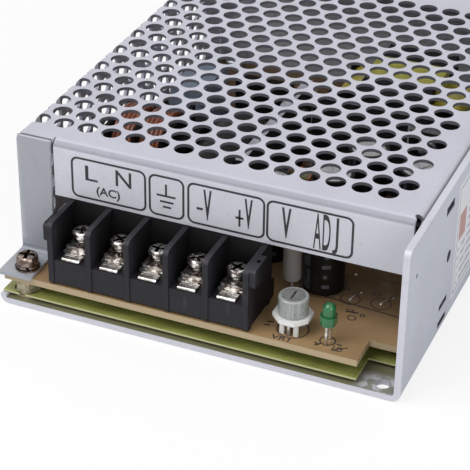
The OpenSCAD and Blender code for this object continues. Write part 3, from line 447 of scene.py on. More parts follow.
@dataclass(frozen=True)
class Moulding:
    """Moulded plastic with a fine spark-eroded skin and a little handling dust."""

    body: Colour
    dust: Colour = (0.30, 0.29, 0.30)
    rough: float = 0.42
    amount: float = 0.10
    coat: float = 0.0
    gloss: float = 0.5

    def material(self, name: str) -> bpy.types.Material:
        """Builds the material."""
        g = Graph(name)
        skin = g.noise(0.18, 2)
        cloud = g.noise(5, 4)
        haze = g.ramp(cloud, 0.5, 0.8) * self.amount
        colour = g.mix(haze, self.body, self.dust)
        colour = g.mix(g.ramp(skin, 0.6, 0.8) * self.amount, colour, self.dust)
        g.set(Base_Color=colour, Roughness=(self.rough + skin * 0.12 + cloud * 0.08), Coat_Weight=self.coat)
        g.shader.inputs["Specular IOR Level"].default_value = self.gloss
        g.bump(skin, 0.25, 0.04)
        return g.material


@dataclass(frozen=True)
class Pockets(Moulding):
    """The black moulding of the terminal block, with painted shade toward the back of its pockets."""

    front: float = -63.4

    def material(self, name: str) -> bpy.types.Material:
        """Builds the material."""
        g = Graph(name)
        skin = g.noise(0.18, 2)
        cloud = g.noise(4, 4)
        scuff = g.ramp(g.noise(1.6, 4, (1, 1, 0.25)), 0.58, 0.75) * self.amount
        _, y, z = g.axes()
        _, _, nz = g.facing()
        colour = g.mix(scuff, self.body, self.dust)
        edge = g.ramp(nz, 0.2, 0.5) * g.ramp(nz, 1.0, 0.8) + g.ramp(nz, 0.9, 0.98) * (z > 23.0)
        colour = g.mix(edge.clamp() * 0.35, colour, self.dust)
        # painted shade, deeper toward the back of the pockets
        colour = g.shade(colour, g.ramp(y, self.front, self.front + 5.0), (0.30, 0.30, 0.30))
        g.set(Base_Color=colour, Roughness=(self.rough + skin * 0.12 + cloud * 0.08), Coat_Weight=self.coat)
        g.shader.inputs["Specular IOR Level"].default_value = self.gloss
        g.bump(skin, 0.25, 0.04)
        return g.material


@dataclass(frozen=True)
class Plating:
    """Plated steel: bright, with tarnish in patches and fine turning marks."""

    body: Colour
    tarnish: Colour
    amount: float = 0.5
    rough: float = 0.22

    def material(self, name: str) -> bpy.types.Material:
        """Builds the material."""
        g = Graph(name)
        cloud = g.noise(1.1, 3)
        fine = g.noise(0.15, 2, (1, 1, 0.3))
        mask = (g.ramp(cloud, 0.40, 0.60) * self.amount).clamp()
        colour = g.mix(mask, self.body, self.tarnish)
        g.set(Base_Color=colour, Metallic=0.95, Roughness=(self.rough + cloud * 0.12 + fine * 0.08))
        g.bump(fine, 0.2, 0.03)
        return g.material


@dataclass(frozen=True)
class ScrewPlating(Plating):
    """Plating of a row of screws, with painted shade in the cross recess and along the seams."""

    first: float = 18.8
    step: float = 9.5
    line: float = 8.0
    flat: float = 1.72
    top: float = 19.4
    depth: float = 1.0
    seams: tuple[float, ...] = (17.9,)

    def material(self, name: str) -> bpy.types.Material:
        """Builds the material."""
        g = Graph(name)
        x, y, z = g.axes()
        start = self.first - HALF_WIDTH - self.step * 1.5
        across = (x - start).cycle(self.step) - self.step / 2
        along = y - (self.line - HALF_DEPTH)
        radius = (across * across + along * along) ** 0.5
        cloud = g.noise(0.9, 3)
        fine = g.noise(0.15, 2)
        mask = (g.ramp(cloud, 0.44, 0.58) * self.amount).clamp()
        colour = g.mix(mask, self.body, self.tarnish)
        # painted shade in the cross recess
        recess_painted_shade = (radius < self.flat) * (z < self.top - 0.05) * (z > self.top - self.depth)
        colour = g.mix(recess_painted_shade * 0.92, colour, (0.02, 0.012, 0.010))
        # painted shade along the seams between head, shank and washers
        for seam in self.seams:
            colour = g.mix((abs(z - seam) < 0.10) * 0.9, colour, (0.03, 0.02, 0.015))
        g.set(Base_Color=colour, Metallic=0.95, Roughness=(self.rough + cloud * 0.12 + fine * 0.08))
        g.bump(fine * 0.4 + cloud * 0.6, 0.35, 0.06)
        return g.material


@dataclass(frozen=True)
class Knob:
    """Milky clear plastic: a paler rim and skirt round a grey middle, and painted shade in the slot."""

    middle: Colour = (0.20, 0.205, 0.195)
    rim: Colour = (0.52, 0.54, 0.53)
    centre: Flat = (21.7, -58.0)
    radius: float = 3.4
    top: float = 16.6

    def material(self, name: str) -> bpy.types.Material:
        """Builds the material."""
        g = Graph(name)
        x, y, z = g.axes()
        _, _, nz = g.facing()
        across, along = x - self.centre[0], y - self.centre[1]
        radius = (across * across + along * along) ** 0.5
        cloud = g.noise(1.2, 3)
        pale = (g.ramp(radius, self.radius - 1.0, self.radius - 0.35) * 0.8 + cloud * 0.15).clamp()
        colour = g.mix(pale, self.middle, self.rim)
        ribs = g.noise(0.6, 2, (1, 1, 0.05))
        side = g.ramp(abs(nz), 0.5, 0.3)
        colour = g.shade(colour, side * g.ramp(ribs, 0.4, 0.65) * 0.6, (0.55, 0.58, 0.57))
        # painted shade in the slot of the knob
        slot = (z < self.top - 0.2) * (radius < 1.8) * (z > self.top - 1.0)
        colour = g.shade(colour, slot * 0.6, (0.4, 0.4, 0.4))
        g.set(Base_Color=colour, Roughness=(0.22 + cloud * 0.15), Coat_Weight=0.3)
        g.shader.inputs["Transmission Weight"].default_value = 0.35
        g.bump(cloud, 0.2, 0.05)
        return g.material


@dataclass(frozen=True)
class Laminate:
    """Paper laminate board: brown solder side print, pale sawn edges, painted shade toward the back under the
    cover.
    """

    top: Colour = (0.27, 0.165, 0.080)
    warm: Colour = (0.33, 0.215, 0.105)
    edge: Colour = (0.40, 0.31, 0.19)
    below: Colour = (0.33, 0.42, 0.16)

    def material(self, name: str) -> bpy.types.Material:
        """Builds the material."""
        g = Graph(name)
        fibre = g.noise(0.7, 4, (1, 0.35, 1))
        cloud = g.noise(22, 2)
        _, _, nz = g.facing()
        colour = g.mix(g.ramp(cloud, 0.35, 0.7), self.top, self.warm)
        colour = g.mix(g.ramp(fibre, 0.55, 0.8) * 0.25, colour, self.edge)
        colour = g.mix(g.ramp(nz, -0.3, -0.6), colour, self.below)
        colour = g.mix(g.ramp(abs(nz), 0.5, 0.3), colour, self.edge)
        # painted shade where the board runs back under the cover
        _, y, _ = g.axes()
        colour = g.shade(colour, g.ramp(y, -52.0, -30.0), (0.40, 0.36, 0.32))
        g.set(Base_Color=colour, Roughness=(0.38 + fibre * 0.2), Coat_Weight=0.1)
        g.shader.inputs["Specular IOR Level"].default_value = 0.25
        g.bump(fibre, 0.15, 0.04)
        return g.material


@dataclass(frozen=True)
class Film:
    """Yellow-green insulating sheet with pale cut edges."""

    body: Colour = (0.31, 0.31, 0.09)
    deep: Colour = (0.20, 0.20, 0.05)
    edge: Colour = (0.44, 0.44, 0.24)

    def material(self, name: str) -> bpy.types.Material:
        """Builds the material."""
        g = Graph(name)
        streak = g.noise(3, 3, (0.25, 1, 1))
        fine = g.noise(0.4, 2)
        _, _, nz = g.facing()
        colour = g.mix(g.ramp(streak, 0.35, 0.7), self.body, self.deep)
        colour = g.mix(g.ramp(abs(nz), 0.5, 0.3), colour, self.edge)
        g.set(Base_Color=colour, Roughness=(0.3 + fine * 0.2), Coat_Weight=0.2)
        g.bump(fine, 0.1, 0.03)
        return g.material


@dataclass(frozen=True)
class Glaze:
    """A smooth coat or dip over a coloured body, with slow runs in its surface."""

    body: Colour
    shade: Colour
    grain: float = 2.5
    rough: float = 0.22
    coat: float = 0.4
    clear: float = 0.0
    gloss: float = 0.5

    def material(self, name: str) -> bpy.types.Material:
        """Builds the material."""
        g = Graph(name)
        cloud = g.noise(self.grain, 3)
        fine = g.noise(self.grain / 8, 2)
        colour = g.mix(g.ramp(cloud, 0.35, 0.7), self.body, self.shade)
        g.set(Base_Color=colour, Roughness=(self.rough + fine * 0.12), Coat_Weight=self.coat)
        g.shader.inputs["Transmission Weight"].default_value = self.clear
        g.shader.inputs["Specular IOR Level"].default_value = self.gloss
        g.bump(cloud, 0.2, 0.08)
        return g.material


@dataclass(frozen=True)
class Winding:
    """Enamelled wire or tape laid turn beside turn along one axis."""

    body: Colour
    shade: Colour
    axis: int
    pitch: float
    rough: float = 0.28
    depth: float = 0.15

    def material(self, name: str) -> bpy.types.Material:
        """Builds the material."""
        g = Graph(name)
        turn = g.axes()[self.axis].wave(self.pitch)
        cloud = g.noise(3, 3)
        colour = g.mix(turn * 0.7 + cloud * 0.3, self.shade, self.body)
        g.set(Base_Color=colour, Roughness=(self.rough + cloud * 0.15), Coat_Weight=0.4)
        g.bump(turn, 0.5, self.depth)
        return g.material


@dataclass(frozen=True)
class Print:
    """Ink or paint: nearly even, with the faint mottle of a screen print."""

    body: Colour
    worn: Colour
    rough: float = 0.5

    def material(self, name: str) -> bpy.types.Material:
        """Builds the material."""
        g = Graph(name)
        mottle = g.noise(0.35, 3)
        colour = g.mix(g.ramp(mottle, 0.55, 0.85) * 0.6, self.body, self.worn)
        g.set(Base_Color=colour, Roughness=self.rough + mottle * 0.1)
        return g.material


@dataclass(frozen=True)
class Ground:
    """The plain pale floor, white to the eye and to reflections."""

    level: float = 0.9
    glow: float = 0.78

    def material(self, name: str) -> bpy.types.Material:
        """Builds the material."""
        g = Graph(name)
        path = g.node("ShaderNodeLightPath", out="Is Camera Ray")
        cloud = g.noise(60, 2)
        pale = (self.level, self.level, self.level)
        g.set(Base_Color=g.mix(cloud * 0.02, pale, (0.88, 0.88, 0.88)), Roughness=0.9)
        glow = g.node("ShaderNodeEmission", None, {"Color": (1, 1, 1), "Strength": 1.0})
        plain = Sock(g, g.shader.outputs[0])
        blend = g.node("ShaderNodeMixShader", None, {0: path * self.glow, 1: plain, 2: glow})
        g.tree.links.new(blend.socket, g.output.inputs[0])
        return g.material


# ------------------------------------------------------------------ mesh work


class Shop:
    """Makes the scene's own pieces and fixes each to its CAD body."""

    @staticmethod
    def piece(
        name: str, mesh: bpy.types.Mesh, material: bpy.types.Material, body: str, slot: str
    ) -> bpy.types.Object:
        """Turns a mesh into a piece that rides on a body.

        Args:
            name: the piece's name.
            mesh: its mesh, in metres of the row frame.
            material: its finish.
            body: the CAD body that carries it.
            slot: the record's material slot; not used.

        Returns:
            The new object.
        """
        mesh.materials.clear()
        mesh.materials.append(material)
        made = bpy.data.objects.new(name, mesh)
        bpy.context.scene.collection.objects.link(made)
        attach(made, body)
        LOG.info("%s: %d faces", name, len(mesh.polygons))
        return made

    @staticmethod
    def mesh(name: str, build: Callable[[bmesh.types.BMesh], None], smooth: bool = False) -> bpy.types.Mesh:
        """Makes a mesh by a function that fills a bmesh.

        Args:
            name: the mesh's name.
            build: fills the bmesh, in millimetres.
            smooth: whether its faces are shaded smooth.

        Returns:
            The mesh, in metres.
        """
        bm = bmesh.new()
        build(bm)
        bmesh.ops.scale(bm, vec=(MM, MM, MM), verts=bm.verts)
        bmesh.ops.recalc_face_normals(bm, faces=bm.faces)
        made = bpy.data.meshes.new(name)
        bm.to_mesh(made)
        bm.free()
        for face in made.polygons:
            face.use_smooth = smooth
        return made

    @staticmethod
    def slab(
        bm: bmesh.types.BMesh,
        outline: Sequence[Flat],
        lay: Matrix,
        thick: float,
        hole: Sequence[Flat] | None = None,
    ) -> None:
        """Adds a flat slab with the given outline, and a hole of as many points if wanted.

        Args:
            bm: what it is added to.
            outline: its corners in its own plane.
            lay: places its plane in the row frame.
            thick: its thickness along its own third axis.
            hole: the corners of a hole, one for each outline corner.
        """
        rings: list[list[bmesh.types.BMVert]] = []
        for z in (0.0, thick):
            rings.append([bm.verts.new(lay @ Vector((x, y, z))) for x, y in outline])
            if hole:
                rings.append([bm.verts.new(lay @ Vector((x, y, z))) for x, y in hole])
        count = len(outline)
        if not hole:
            bm.faces.new(rings[0])
            bm.faces.new(rings[1])
            pairs = [(rings[0], rings[1])]
        else:
            pairs = [(rings[0], rings[1]), (rings[2], rings[3]), (rings[0], rings[2]), (rings[1], rings[3])]
        for low, high in pairs:
            for i in range(count):
                j = (i + 1) % count
                bm.faces.new((low[i], low[j], high[j], high[i]))


def arc(cx: float, cy: float, r: float, start: float, end: float, steps: int) -> list[Flat]:
    """Points on an arc, angles in degrees."""
    turns = [math.radians(start + (end - start) * i / steps) for i in range(steps + 1)]
    return [(cx + r * math.cos(t), cy + r * math.sin(t)) for t in turns]


def rounded(x0: float, y0: float, x1: float, y1: float, r: float, steps: int = 6) -> list[Flat]:
    """The outline of a rectangle with rounded corners."""
    return (
        arc(x1 - r, y1 - r, r, 0, 90, steps)
        + arc(x0 + r, y1 - r, r, 90, 180, steps)
        + arc(x0 + r, y0 + r, r, 180, 270, steps)
        + arc(x1 - r, y0 + r, r, 270, 360, steps)
    )


def stroke(a: Flat, b: Flat, width: float) -> list[Flat]:
    """The outline of a straight line with a width."""
    dx, dy = b[0] - a[0], b[1] - a[1]
    size = math.hypot(dx, dy)
    nx, ny = -dy / size * width / 2, dx / size * width / 2
    return [(a[0] + nx, a[1] + ny), (b[0] + nx, b[1] + ny), (b[0] - nx, b[1] - ny), (a[0] - nx, a[1] - ny)]


@dataclass
class Word:
    """A printed word: its box on the surface, in millimetres."""

    text: str
    x0: float
    x1: float
    y0: float
    y1: float
    bold: float = 0.0

    def add(self, bm: bmesh.types.BMesh, lay: Matrix, thick: float) -> None:
        """Adds the word as thin slabs, stretched to fill its box.

        Args:
            bm: what it is added to.
            lay: places the drawing plane in the row frame.
            thick: the ink's thickness.
        """
        curve = bpy.data.curves.new("word", "FONT")
        curve.body = self.text
        curve.offset = self.bold
        curve.extrude = thick / 2
        curve.resolution_u = 4
        holder = bpy.data.objects.new("word", curve)
        bpy.context.scene.collection.objects.link(holder)
        bpy.context.view_layer.update()
        made = bpy.data.meshes.new_from_object(holder)
        bpy.data.objects.remove(holder)
        bpy.data.curves.remove(curve)
        xs = [v.co.x for v in made.vertices]
        ys = [v.co.y for v in made.vertices]
        sx = (self.x1 - self.x0) / (max(xs) - min(xs))
        sy = (self.y1 - self.y0) / (max(ys) - min(ys))
        fit = (
            lay
            @ Matrix.Translation((self.x0 - min(xs) * sx, self.y0 - min(ys) * sy, thick / 2))
            @ Matrix.Diagonal((sx, sy, 1, 1))
        )
        made.transform(fit)
        bm.from_mesh(made)
        bpy.data.meshes.remove(made)


# ------------------------------------------------------------------ sub-assemblies


@dataclass
class Case:
    """The chassis and the cover, with the printed terminal marks on the front lip."""

    width: float = 98.0
    depth: float = 129.0
    lip_y: float = 12.5
    ink: float = 0.03
    line: float = 0.52
    corner: float = 1.5
    boxes: tuple[tuple[float, float], ...] = ((14.3, 32.5), (33.6, 41.8), (43.0, 61.0), (61.8, 81.4))
    box_low: float = 25.1
    box_high: float = 35.0
    words: tuple[Word, ...] = (
        Word("L", 17.6, 20.7, 29.7, 33.5, 0.005),
        Word("N", 25.2, 29.1, 30.0, 34.0, 0.005),
        Word("(AC)", 20.3, 26.2, 25.9, 28.7, 0.022),
        Word("V", 46.6, 48.6, 26.4, 34.1, 0.03),
        Word("V", 56.4, 58.3, 26.6, 34.1, 0.03),
        Word("V", 65.1, 67.3, 26.4, 34.1, 0.03),
        Word("A", 72.5, 74.3, 25.6, 34.6, 0.008),
        Word("D", 74.6, 76.4, 25.6, 34.6, 0.008),
        Word("J", 76.9, 78.2, 25.2, 34.4, 0.002),
    )
    ink_finish: Print = Print(body=(0.018, 0.018, 0.022), worn=(0.07, 0.07, 0.08))

    def lay(self) -> Matrix:
        """Places drawings with X to the right and Y up on the face of the lip."""
        across = (1, 0, 0, -self.width / 2)
        inward = (0, 0, -1, self.lip_y - self.depth / 2)
        face = Matrix((across, inward, (0, 1, 0, 0), (0, 0, 0, 1)))
        return face @ Matrix.Translation((0, 0, -self.ink / 3))

    def frames(self, bm: bmesh.types.BMesh) -> None:
        """Adds the four rounded frames."""
        half = self.line / 2
        low, high = self.box_low, self.box_high
        for x0, x1 in self.boxes:
            outer = rounded(x0 - half, low - half, x1 + half, high + half, self.corner + half)
            inner = rounded(x0 + half, low + half, x1 - half, high - half, self.corner - half)
            Shop.slab(bm, outer, self.lay(), self.ink, inner)

    def signs(self, bm: bmesh.types.BMesh) -> None:
        """Adds the earth sign, the minus and plus signs and the words."""
        lines = [
            ((37.6, 33.2), (37.6, 30.3), 0.5),
            ((35.3, 30.2), (39.9, 30.2), 0.5),
            ((36.1, 28.7), (39.4, 28.7), 0.5),
            ((36.8, 27.4), (38.8, 27.4), 0.5),
            ((45.0, 29.0), (46.5, 29.0), 0.6),
            ((54.3, 28.9), (56.2, 28.9), 0.55),
            ((55.25, 26.7), (55.25, 31.0), 0.5),
        ]
        for a, b, width in lines:
            Shop.slab(bm, stroke(a, b, width), self.lay(), self.ink)
        for word in self.words:
            word.add(bm, self.lay(), self.ink)

    def build(self) -> None:
        """Adds the printed marks as one piece of ink."""
        mesh = Shop.mesh("lip_marks", lambda bm: (self.frames(bm), self.signs(bm)))
        Shop.piece("lip_marks", mesh, self.ink_finish.material("lip_ink"), "supply", "cover_sheet")


@dataclass
class Board:
    """The screen print on the circuit board and the solder under it."""

    width: float = 98.0
    depth: float = 129.0
    top: float = 7.6
    ink: float = 0.03
    line: float = 0.3
    rings: tuple[tuple[float, float, float], ...] = (
        (70.8, 6.5, 3.5), (79.3, 5.4, 1.7), (78.3, 22.8, 2.2), (85.3, 23.7, 2.3),
        (81.1, 15.8, 0.9), (83.0, 17.6, 0.5), (84.0, 38.0, 5.2), (70.6, 25.9, 5.3),
    )
    strokes: tuple[tuple[Flat, Flat, float], ...] = (
        ((67.5, 21.9), (90.6, 20.2), 0.4),
        ((76.8, 3.9), (78.0, 3.1), 0.4),
        ((77.2, 2.7), (78.2, 3.9), 0.4),
        ((81.6, 5.0), (82.8, 4.8), 0.4),
        ((79.1, 17.9), (81.9, 18.1), 0.6),
        ((64.5, 6.9), (65.9, 7.4), 0.6),
        ((64.3, 5.6), (65.6, 6.0), 0.5),
        ((81.2, 2.4), (84.2, 4.6), 0.35),
    )
    words: tuple[Word, ...] = (
        Word("VR1", 67.3, 71.6, 1.5, 3.0, 0.02),
        Word("LD", 81.2, 83.4, 2.4, 4.1, 0.02),
        Word("R8", 75.0, 77.2, 25.6, 27.0, 0.02),
        Word("R9", 82.0, 84.2, 26.2, 27.6, 0.02),
        Word("C7", 78.8, 80.8, 17.6, 19.0, 0.02),
    )
    leads: tuple[tuple[Flat, Flat], ...] = (((78.3, 22.8), (79.6, 26.4)), ((85.3, 23.7), (86.9, 27.2)))
    joints: tuple[Flat, ...] = (
        (79.6, 26.4), (86.9, 27.2), (78.3, 22.8), (85.3, 23.7), (68.5, 31.0), (76.0, 33.0),
    )
    ink_finish: Print = Print(body=(0.03, 0.025, 0.02), worn=(0.16, 0.11, 0.07))

    def lay(self) -> Matrix:
        """Places drawings on the board's top, in the case's corner frame."""
        return Matrix.Translation((-self.width / 2, -self.depth / 2, self.top - self.ink / 3))

    def draw(self, bm: bmesh.types.BMesh) -> None:
        """Adds all rings and strokes."""
        for x, y, r in self.rings:
            outer = arc(x, y, r + self.line / 2, 0, 352.5, 47)
            inner = arc(x, y, r - self.line / 2, 0, 352.5, 47)
            Shop.slab(bm, outer, self.lay(), self.ink, inner)
        for a, b, width in self.strokes:
            Shop.slab(bm, stroke(a, b, width), self.lay(), self.ink)
        for word in self.words:
            word.add(bm, self.lay(), self.ink)

    def solder(self, bm: bmesh.types.BMesh) -> None:
        """Adds the bare wire bridges and the low domes of solder at their ends."""
        for a, b in self.leads:
            Shop.slab(bm, stroke(a, b, 0.3), self.lay(), 0.3)
        for x, y in self.joints:
            dome = bmesh.ops.create_uvsphere(bm, u_segments=16, v_segments=8, radius=0.55)["verts"]
            bmesh.ops.scale(bm, vec=(1, 1, 0.5), verts=dome)
            bmesh.ops.translate(bm, vec=self.lay() @ Vector((x, y, 0)), verts=dome)

    def build(self) -> None:
        """Adds the screen print and the solder, a piece each."""
        ink = self.ink_finish.material("board_ink")
        Shop.piece("board_print", Shop.mesh("board_print", self.draw), ink, "supply", "board_laminate")
        tin = Plating(body=(0.55, 0.50, 0.44), tarnish=(0.30, 0.24, 0.18)).material("solder")
        solder = Shop.mesh("board_solder", self.solder, smooth=True)
        Shop.piece("board_solder", solder, tin, "supply", "tinned_metal")


@dataclass
class Threads:
    """The thread on the bare shank under each terminal screw head."""

    first: float = 18.8
    step: float = 9.5
    line: float = 8.0
    low: float = 16.55
    high: float = 17.85
    pitch: float = 0.5
    core: float = 1.44
    crest: float = 1.58
    names: tuple[str, ...] = ("line", "neutral", "earth", "minus", "plus")

    def turn(self, bm: bmesh.types.BMesh, x: float) -> None:
        """Adds the thread ridges of one screw as a turned profile.

        Args:
            bm: what it is added to.
            x: the screw's place across the case.
        """
        steps = round((self.high - self.low) / self.pitch * 2)
        rise = (self.high - self.low) / steps
        profile = [(self.core if i % 2 == 0 else self.crest, self.low + i * rise) for i in range(steps + 1)]
        centre = Vector((x - HALF_WIDTH, self.line - HALF_DEPTH, 0))
        loops = []
        for radius, z in profile:
            ring = arc(0, 0, radius, 0, 345, 23)
            loops.append([bm.verts.new(centre + Vector((px, py, z))) for px, py in ring])
        for lower, upper in zip(loops, loops[1:]):
            for i in range(len(lower)):
                j = (i + 1) % len(lower)
                bm.faces.new((lower[i], lower[j], upper[j], upper[i]))

    def build(self) -> None:
        """Adds one piece for each screw, on the screw's own body."""
        finish = Plating(body=(0.55, 0.52, 0.49), tarnish=(0.16, 0.10, 0.07)).material("thread")
        for i, name in enumerate(self.names):
            mesh = Shop.mesh(f"{name}_thread", lambda bm, x=self.first + i * self.step: self.turn(bm, x))
            Shop.piece(f"{name}_thread", mesh, finish, f"{name}_clamp_screw", "nickel_screw")


@dataclass
class Sleeves:
    """The printed stripe and marks on the sleeves of the output capacitors."""

    places: tuple[Flat, ...] = ((70.6, 25.9), (54.5, 34.0), (66.4, 42.0), (70.0, 56.5), (84.0, 52.0))
    radius: float = 4.85
    low: float = 8.6
    high: float = 26.6
    ink: float = 0.03
    bars: tuple[tuple[float, float], ...] = (
        (285, 20), (288, 10), (284, 24), (290, 14), (285, 18), (287, 22),
    )

    def patch(
        self, bm: bmesh.types.BMesh, centre: Flat, start: float, end: float, z0: float, z1: float
    ) -> None:
        """Adds a thin curved field on one sleeve.

        Args:
            bm: what it is added to.
            centre: the capacitor's place.
            start: first angle, in degrees.
            end: last angle.
            z0: lower edge.
            z1: upper edge.
        """
        x, y = centre[0] - HALF_WIDTH, centre[1] - HALF_DEPTH
        outer = arc(x, y, self.radius + self.ink, start, end, 8)
        inner = arc(x, y, self.radius - self.ink, end, start, 8)
        Shop.slab(bm, outer + inner, Matrix.Translation((0, 0, z0)), z1 - z0)

    def stripes(self, bm: bmesh.types.BMesh) -> None:
        """Adds the pale stripe of each sleeve, broken by its minus marks."""
        for centre in self.places:
            for k in range(3):
                z0 = self.low + k * 6.2
                self.patch(bm, centre, 215, 250, z0, z0 + 2.2)
                self.patch(bm, centre, 215, 226, z0 + 2.2, z0 + 5.4)
                self.patch(bm, centre, 239, 250, z0 + 2.2, z0 + 5.4)

    def marks(self, bm: bmesh.types.BMesh) -> None:
        """Adds short bars in place of the sleeve's rating."""
        for centre in self.places:
            for k, (start, width) in enumerate(self.bars):
                z0 = self.low + 1.0 + 2.6 * k
                self.patch(bm, centre, start, start + width, z0, z0 + 0.9)

    def build(self) -> None:
        """Adds the stripes and the bars, a piece each."""
        pale = Print(body=(0.045, 0.05, 0.062), worn=(0.03, 0.03, 0.04)).material("sleeve_stripe")
        grey = Print(body=(0.10, 0.10, 0.12), worn=(0.05, 0.05, 0.06)).material("sleeve_marks")
        stripes = Shop.mesh("sleeve_stripes", self.stripes)
        Shop.piece("sleeve_stripes", stripes, pale, "supply", "black_sleeve")
        marks = Shop.mesh("sleeve_marks", self.marks)
        Shop.piece("sleeve_marks", marks, grey, "supply", "black_sleeve")


@dataclass
class Bands:
    """The colour bands on the lying resistors."""

    places: tuple[Flat, ...] = (
        (30.0, 20.5), (42.0, 20.5), (34.0, 102.0), (34.0, 107.0), (34.0, 112.0), (56.0, 113.0), (84.0, 113.0)
    )
    radius: float = 1.2
    height: float = 9.2
    width: float = 0.5
    offsets: tuple[float, ...] = (-1.9, -0.9, 0.1, 1.7)
    colours: tuple[Colour, ...] = (
        (0.08, 0.03, 0.02), (0.012, 0.012, 0.012), (0.16, 0.02, 0.015), (0.22, 0.15, 0.04),
    )

    def ring(self, bm: bmesh.types.BMesh, offset: float) -> None:
        """Adds one band on every resistor.

        Args:
            bm: what it is added to.
            offset: the band's place from the middle of the body.
        """
        outer = arc(0, 0, self.radius + 0.02, 0, 345, 23)
        inner = arc(0, 0, self.radius - 0.05, 0, 345, 23)
        along = Matrix.Rotation(math.pi / 2, 4, "Y")
        for x, y in self.places:
            place = (x - HALF_WIDTH + offset, y - HALF_DEPTH, self.height)
            lay = Matrix.Translation(place) @ along
            Shop.slab(bm, outer, lay, self.width, inner)

    def build(self) -> None:
        """Adds one piece for each colour."""
        for k, (offset, colour) in enumerate(zip(self.offsets, self.colours)):
            finish = Print(body=colour, worn=tuple(c * 0.7 for c in colour)).material(f"band_{k}")
            mesh = Shop.mesh(f"band_{k}", lambda bm, place=offset: self.ring(bm, place))
            Shop.piece(f"resistor_band_{k}", mesh, finish, "supply", "resistor_tan")


@dataclass
class Studio:
    """Floor, lights, world and camera."""

    place: Point = (0.130617, -0.354595, 0.226241)
    ahead: Point = (-0.32584, 0.78640, -0.52479)
    lens: float = 133.96

    def floor(self) -> None:
        """Adds the plain floor under the case."""
        mesh = Shop.mesh("floor", lambda bm: bmesh.ops.create_grid(bm, x_segments=1, y_segments=1, size=6000))
        mesh.transform(Matrix.Translation((0, 0, -0.0002)))
        mesh.materials.append(Ground().material("floor"))
        made = bpy.data.objects.new("floor", mesh)
        bpy.context.scene.collection.objects.link(made)

    def lamp(self, name: str, place: Point, size: float, power: float) -> None:
        """Adds a soft square lamp that looks at the case.

        Args:
            name: the lamp's name.
            place: where it stands, in metres.
            size: its side, in metres.
            power: its power in watts.
        """
        data = bpy.data.lights.new(name, "AREA")
        data.size = size
        data.energy = power
        made = bpy.data.objects.new(name, data)
        made.location = place
        made.rotation_euler = (Vector((0, 0, 0.02)) - Vector(place)).to_track_quat("-Z", "Y").to_euler()
        bpy.context.scene.collection.objects.link(made)

    def world(self, level: float) -> None:
        """Sets an even white surround.

        Args:
            level: its strength as light; the eye and reflections see full white.
        """
        world = bpy.data.worlds.new("surround")
        world.use_nodes = True
        tree = world.node_tree
        tree.nodes.clear()
        path = tree.nodes.new("ShaderNodeLightPath")
        seen = tree.nodes.new("ShaderNodeMath")
        seen.operation = "MAXIMUM"
        either = tree.nodes.new("ShaderNodeMath")
        either.operation = "MAXIMUM"
        light = tree.nodes.new("ShaderNodeBackground")
        white = tree.nodes.new("ShaderNodeBackground")
        mix = tree.nodes.new("ShaderNodeMixShader")
        out = tree.nodes.new("ShaderNodeOutputWorld")
        light.inputs["Color"].default_value = (0.97, 0.98, 1.0, 1.0)
        light.inputs["Strength"].default_value = level
        white.inputs["Color"].default_value = (1, 1, 1, 1)
        white.inputs["Strength"].default_value = 1.0
        tree.links.new(path.outputs["Is Camera Ray"], seen.inputs[0])
        tree.links.new(path.outputs["Is Glossy Ray"], seen.inputs[1])
        tree.links.new(seen.outputs[0], either.inputs[0])
        tree.links.new(path.outputs["Is Transmission Ray"], either.inputs[1])
        tree.links.new(either.outputs[0], mix.inputs[0])
        tree.links.new(light.outputs[0], mix.inputs[1])
        tree.links.new(white.outputs[0], mix.inputs[2])
        tree.links.new(mix.outputs[0], out.inputs[0])
        bpy.context.scene.world = world

    def camera(self) -> None:
        """Adds the camera at the viewing angle of the case's front right corner."""
        data = bpy.data.cameras.new("camera")
        data.lens = self.lens
        data.sensor_width = 36.0
        data.clip_start = 0.01
        made = bpy.data.objects.new("camera", data)
        ahead = Vector(self.ahead).normalized()
        right = Vector((0.92105, 0.38928, 0.01145)).normalized()
        up = right.cross(ahead)
        turn = Matrix((right, up, -ahead)).transposed().to_4x4()
        made.matrix_world = Matrix.Translation(self.place) @ turn
        bpy.context.scene.collection.objects.link(made)
        bpy.context.scene.camera = made

    def build(self) -> None:
        """Sets the whole stage."""
        self.floor()
        self.world(0.48)
        self.lamp("key", (-0.5, -0.6, 1.1), 0.9, 11.0)
        self.lamp("fill", (0.9, -0.5, 0.6), 0.9, 4.5)
        self.camera()
        bpy.context.scene.view_settings.view_transform = "Standard"


